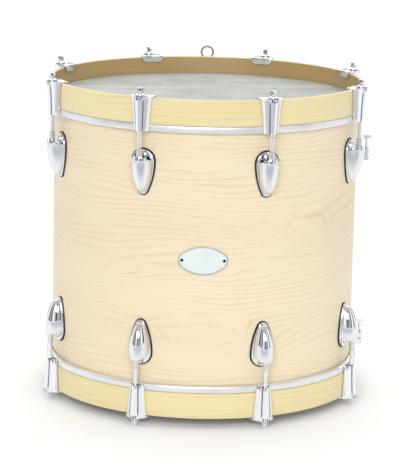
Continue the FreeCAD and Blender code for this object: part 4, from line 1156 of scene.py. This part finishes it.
class DRUM_OT_rods(bpy.types.Operator):
    """Models the tension rods: threaded shank, flange, cone and key square."""

    bl_idname = "drum.rods"
    bl_label = "Tension rods"

    def execute(self, context):
        sizes = context.scene.drum_rods
        pattern = joined([self.shank(sizes), self.thread(sizes), self.key(sizes)])
        smoothed(pattern, 38)
        pattern.matrix_world = Matrix.Translation((ROD_CIRCLE, 0, 0))
        settled(pattern)
        set_round(pattern, "{}_key_rod_{}", "chrome", "{}_rod_{}", "{}_tension_rod_{}")
        return {"FINISHED"}

    def thread_top(self, sizes):
        return NUT_HIGH + sizes.pitch

    def shank(self, sizes):
        """The plain core, the flange and the cone up to the key square."""
        core = sizes.radius - sizes.thread_depth
        top = self.thread_top(sizes)
        flange_top = FLANGE_SEAT + sizes.flange_high
        key_seat = ROD_TOP - sizes.key_high
        profile = [(core - 2 * EASE, ROD_TIP), (core, ROD_TIP + 2 * EASE),
                   (core, top), (sizes.radius, top + sizes.thread_depth),
                   (sizes.radius, FLANGE_SEAT), (sizes.flange - EASE, FLANGE_SEAT)]
        profile += arc(profile[-1], (sizes.flange, FLANGE_SEAT + EASE), EASE, 2)
        profile += [(sizes.flange, flange_top - EASE)]
        profile += arc(profile[-1], (sizes.flange - EASE, flange_top), EASE, 2)
        slope = [(0.62, 0.3), (0.3, 0.62), (0.08, 0.9), (0.0, 1.0)]
        run, rise = sizes.flange - EASE - sizes.cone, key_seat - flange_top
        profile += [(sizes.cone + run * out, flange_top + rise * up) for out, up in slope]
        return turned(profile, 40, closed=False)

    def thread(self, sizes):
        """A triangular ridge wound round the core."""
        top = self.thread_top(sizes)
        core = sizes.radius - sizes.thread_depth
        turns = int((top - ROD_TIP) / sizes.pitch) - 1
        piece = new_piece(bpy.ops.mesh.primitive_circle_add, vertices=3, radius=1)
        half = sizes.pitch * 0.45
        start = ROD_TIP + sizes.pitch / 2
        root = core - 0.0001
        corners = [(root, start - half), (sizes.radius, start), (root, start + half)]
        for vert, (x, z) in zip(piece.data.vertices, corners):
            vert.co = (x, 0, z)
        modified(piece, "SCREW", axis="Z", angle=math.tau, screw_offset=sizes.pitch,
                 iterations=turns, steps=16, render_steps=16, use_merge_vertices=True)
        with editing(piece, "VERT"):
            bpy.ops.mesh.fill_holes(sides=0)
        return merged(piece)

    def key(self, sizes):
        """The square for the drum key, its top slightly domed."""
        low = ROD_TOP - sizes.key_high
        piece = settled(new_piece(bpy.ops.mesh.primitive_cube_add, size=1,
                                  location=(0, 0, (low + ROD_TOP) / 2),
                                  scale=(sizes.key, sizes.key, sizes.key_high)))
        with editing(piece, "EDGE"):
            pick(piece, "edges", lambda edge: abs(edge.verts[0].co.z - edge.verts[1].co.z) > 1e-4)
            bpy.ops.mesh.bevel(offset=sizes.key_round, segments=4, affect="EDGES")
            pick(piece, "edges", lambda edge: within(edge, 2, ROD_TOP))
            bpy.ops.mesh.bevel(offset=sizes.key_round, segments=4, affect="EDGES")
        return piece


# ---------------------------------------------------------------- small fittings


class DRUM_OT_fittings(bpy.types.Operator):
    """Finishes the nuts, gaskets, washers, screws, clamps and the sling's eye bolt."""

    bl_idname = "drum.fittings"
    bl_label = "Small fittings"

    def execute(self, context):
        repaint("brass", "swivel_nuts")
        repaint("rubber", "lug_gaskets")
        repaint("nylon", "nut_retainers")
        repaint("steel", "lug_screws", "lug_screw_washers", "plate_screws", "sling_lock_nut",
                "batter_rod_washers", "resonant_rod_washers")
        repaint("chrome", "upper_rod_clamp", "lower_rod_clamp", "upper_clamp_screw",
                "lower_clamp_screw", "sling_block")
        repaint("dull_steel", "sling_eye_bolt")
        return {"FINISHED"}


# ---------------------------------------------------------------- stage


class DRUM_OT_stage(bpy.types.Operator):
    """Lays the floor, hangs the lights, paints the studio round the drum and sets the camera."""

    bl_idname = "drum.stage"
    bl_label = "Stage"

    def execute(self, context):
        settings = context.scene.drum_stage
        context.scene.view_settings.view_transform = "Standard"
        self.floor(settings)
        self.studio(settings)
        self.light("overhead_light", settings.key_power, 7.0, (0.0, 3.0, 3.4))
        self.light("left_light", settings.fill_power, 1.2, (-0.8, -3.7, 2.0))
        self.light("right_light", settings.fill_power * 0.7, 1.2, (0.6, -3.8, 1.8))
        self.camera(settings)
        return {"FINISHED"}

    def floor(self, settings):
        floor = new_piece(bpy.ops.mesh.primitive_plane_add, size=settings.floor)
        floor.name = "floor"
        floor.data.materials.append(material("floor_paper"))

    def light(self, name, power, size, place):
        """A square soft light that faces the drum's middle."""
        lamp = new_piece(bpy.ops.object.light_add, type="AREA", location=place)
        lamp.name = name
        lamp.data.energy = power
        lamp.data.size = size
        lamp.rotation_mode = "QUATERNION"
        towards = Vector((0, 0, MIDDLE)) - Vector(place)
        lamp.rotation_quaternion = towards.to_track_quat("-Z", "Y")

    def studio(self, settings):
        """Grey walls with brighter panels and dark gaps, which is what the chrome reflects.

        Each patch is its bearing from the front, half its width, both in degrees, and its shade.
        """
        world = bpy.data.worlds.new("studio")
        bpy.context.scene.world = world
        shading = Shading(world)
        direction = shading.node("TexCoord")
        x, y, z = shading.parts(direction)
        bearing = shading.maths("ARCTAN2", x, 0 - y) * (180 / math.pi)
        patches = ((-100, 18, 1.2), (100, 18, 1.2), (-20, 9, 1.1), (52, 10, 1.2),
                   (-40, 4, 0.04), (-68, 5, 0.04), (36, 4, 0.04), (74, 5, 0.04), (4, 5, 0.06),
                   (-126, 7, 0.05), (128, 7, 0.05), (-160, 8, 0.1), (165, 8, 0.1))
        light = 0.5
        for place, half, shade in patches:
            share = shading.step(abs(bearing - place), half * 0.75, half * 1.25, 1.0, 0.0)
            light = light + share * (shade - 0.5)
        overhead = shading.step(z, 0.55, 0.8)
        light = light + overhead * (0.6 - light)
        background = world.node_tree.nodes["Background"]
        shading.feed(background.inputs["Color"], shading.point(light, light, light * 1.02))
        background.inputs["Strength"].default_value = settings.sky

    def camera(self, settings):
        tilt = settings.elevation
        back = Vector((0, -math.cos(tilt), math.sin(tilt)))
        aim = Vector((-settings.aim_left, 0, MIDDLE - settings.aim_down))
        camera = new_piece(bpy.ops.object.camera_add, location=aim + back * settings.distance)
        camera.name = "camera"
        camera.rotation_mode = "QUATERNION"
        rolled = Quaternion((0, 0, 1), settings.roll)
        camera.rotation_quaternion = (-back).to_track_quat("-Z", "Y") @ rolled
        camera.data.sensor_width = 36
        camera.data.lens = settings.lens
        camera.data.clip_start = 0.05
        bpy.context.scene.camera = camera


# ---------------------------------------------------------------- panel and running

STEPS = (DRUM_OT_shell, DRUM_OT_heads, DRUM_OT_hoops, DRUM_OT_claws, DRUM_OT_lugs, DRUM_OT_rods,
         DRUM_OT_fittings, DRUM_OT_stage)


class DRUM_PT_panel(bpy.types.Panel):
    """Lists the steps that build the drum's looks."""

    bl_idname = "DRUM_PT_panel"
    bl_label = "Maple hoop drum"
    bl_space_type = "VIEW_3D"
    bl_region_type = "UI"
    bl_category = "Drum"

    def draw(self, context):
        for step in STEPS:
            self.layout.operator(step.bl_idname)


def register():
    for group in GROUPS.values():
        bpy.utils.register_class(group)
    for name, group in GROUPS.items():
        setattr(bpy.types.Scene, name, PointerProperty(type=group))
    for step in STEPS:
        bpy.utils.register_class(step)
    bpy.utils.register_class(DRUM_PT_panel)


def unregister():
    bpy.utils.unregister_class(DRUM_PT_panel)
    for step in reversed(STEPS):
        bpy.utils.unregister_class(step)
    for name, group in GROUPS.items():
        delattr(bpy.types.Scene, name)
        bpy.utils.unregister_class(group)


def main():
    register()
    for step in STEPS:
        family, name = step.bl_idname.split(".")
        getattr(getattr(bpy.ops, family), name)()


if __name__ == "__main__":
    main()
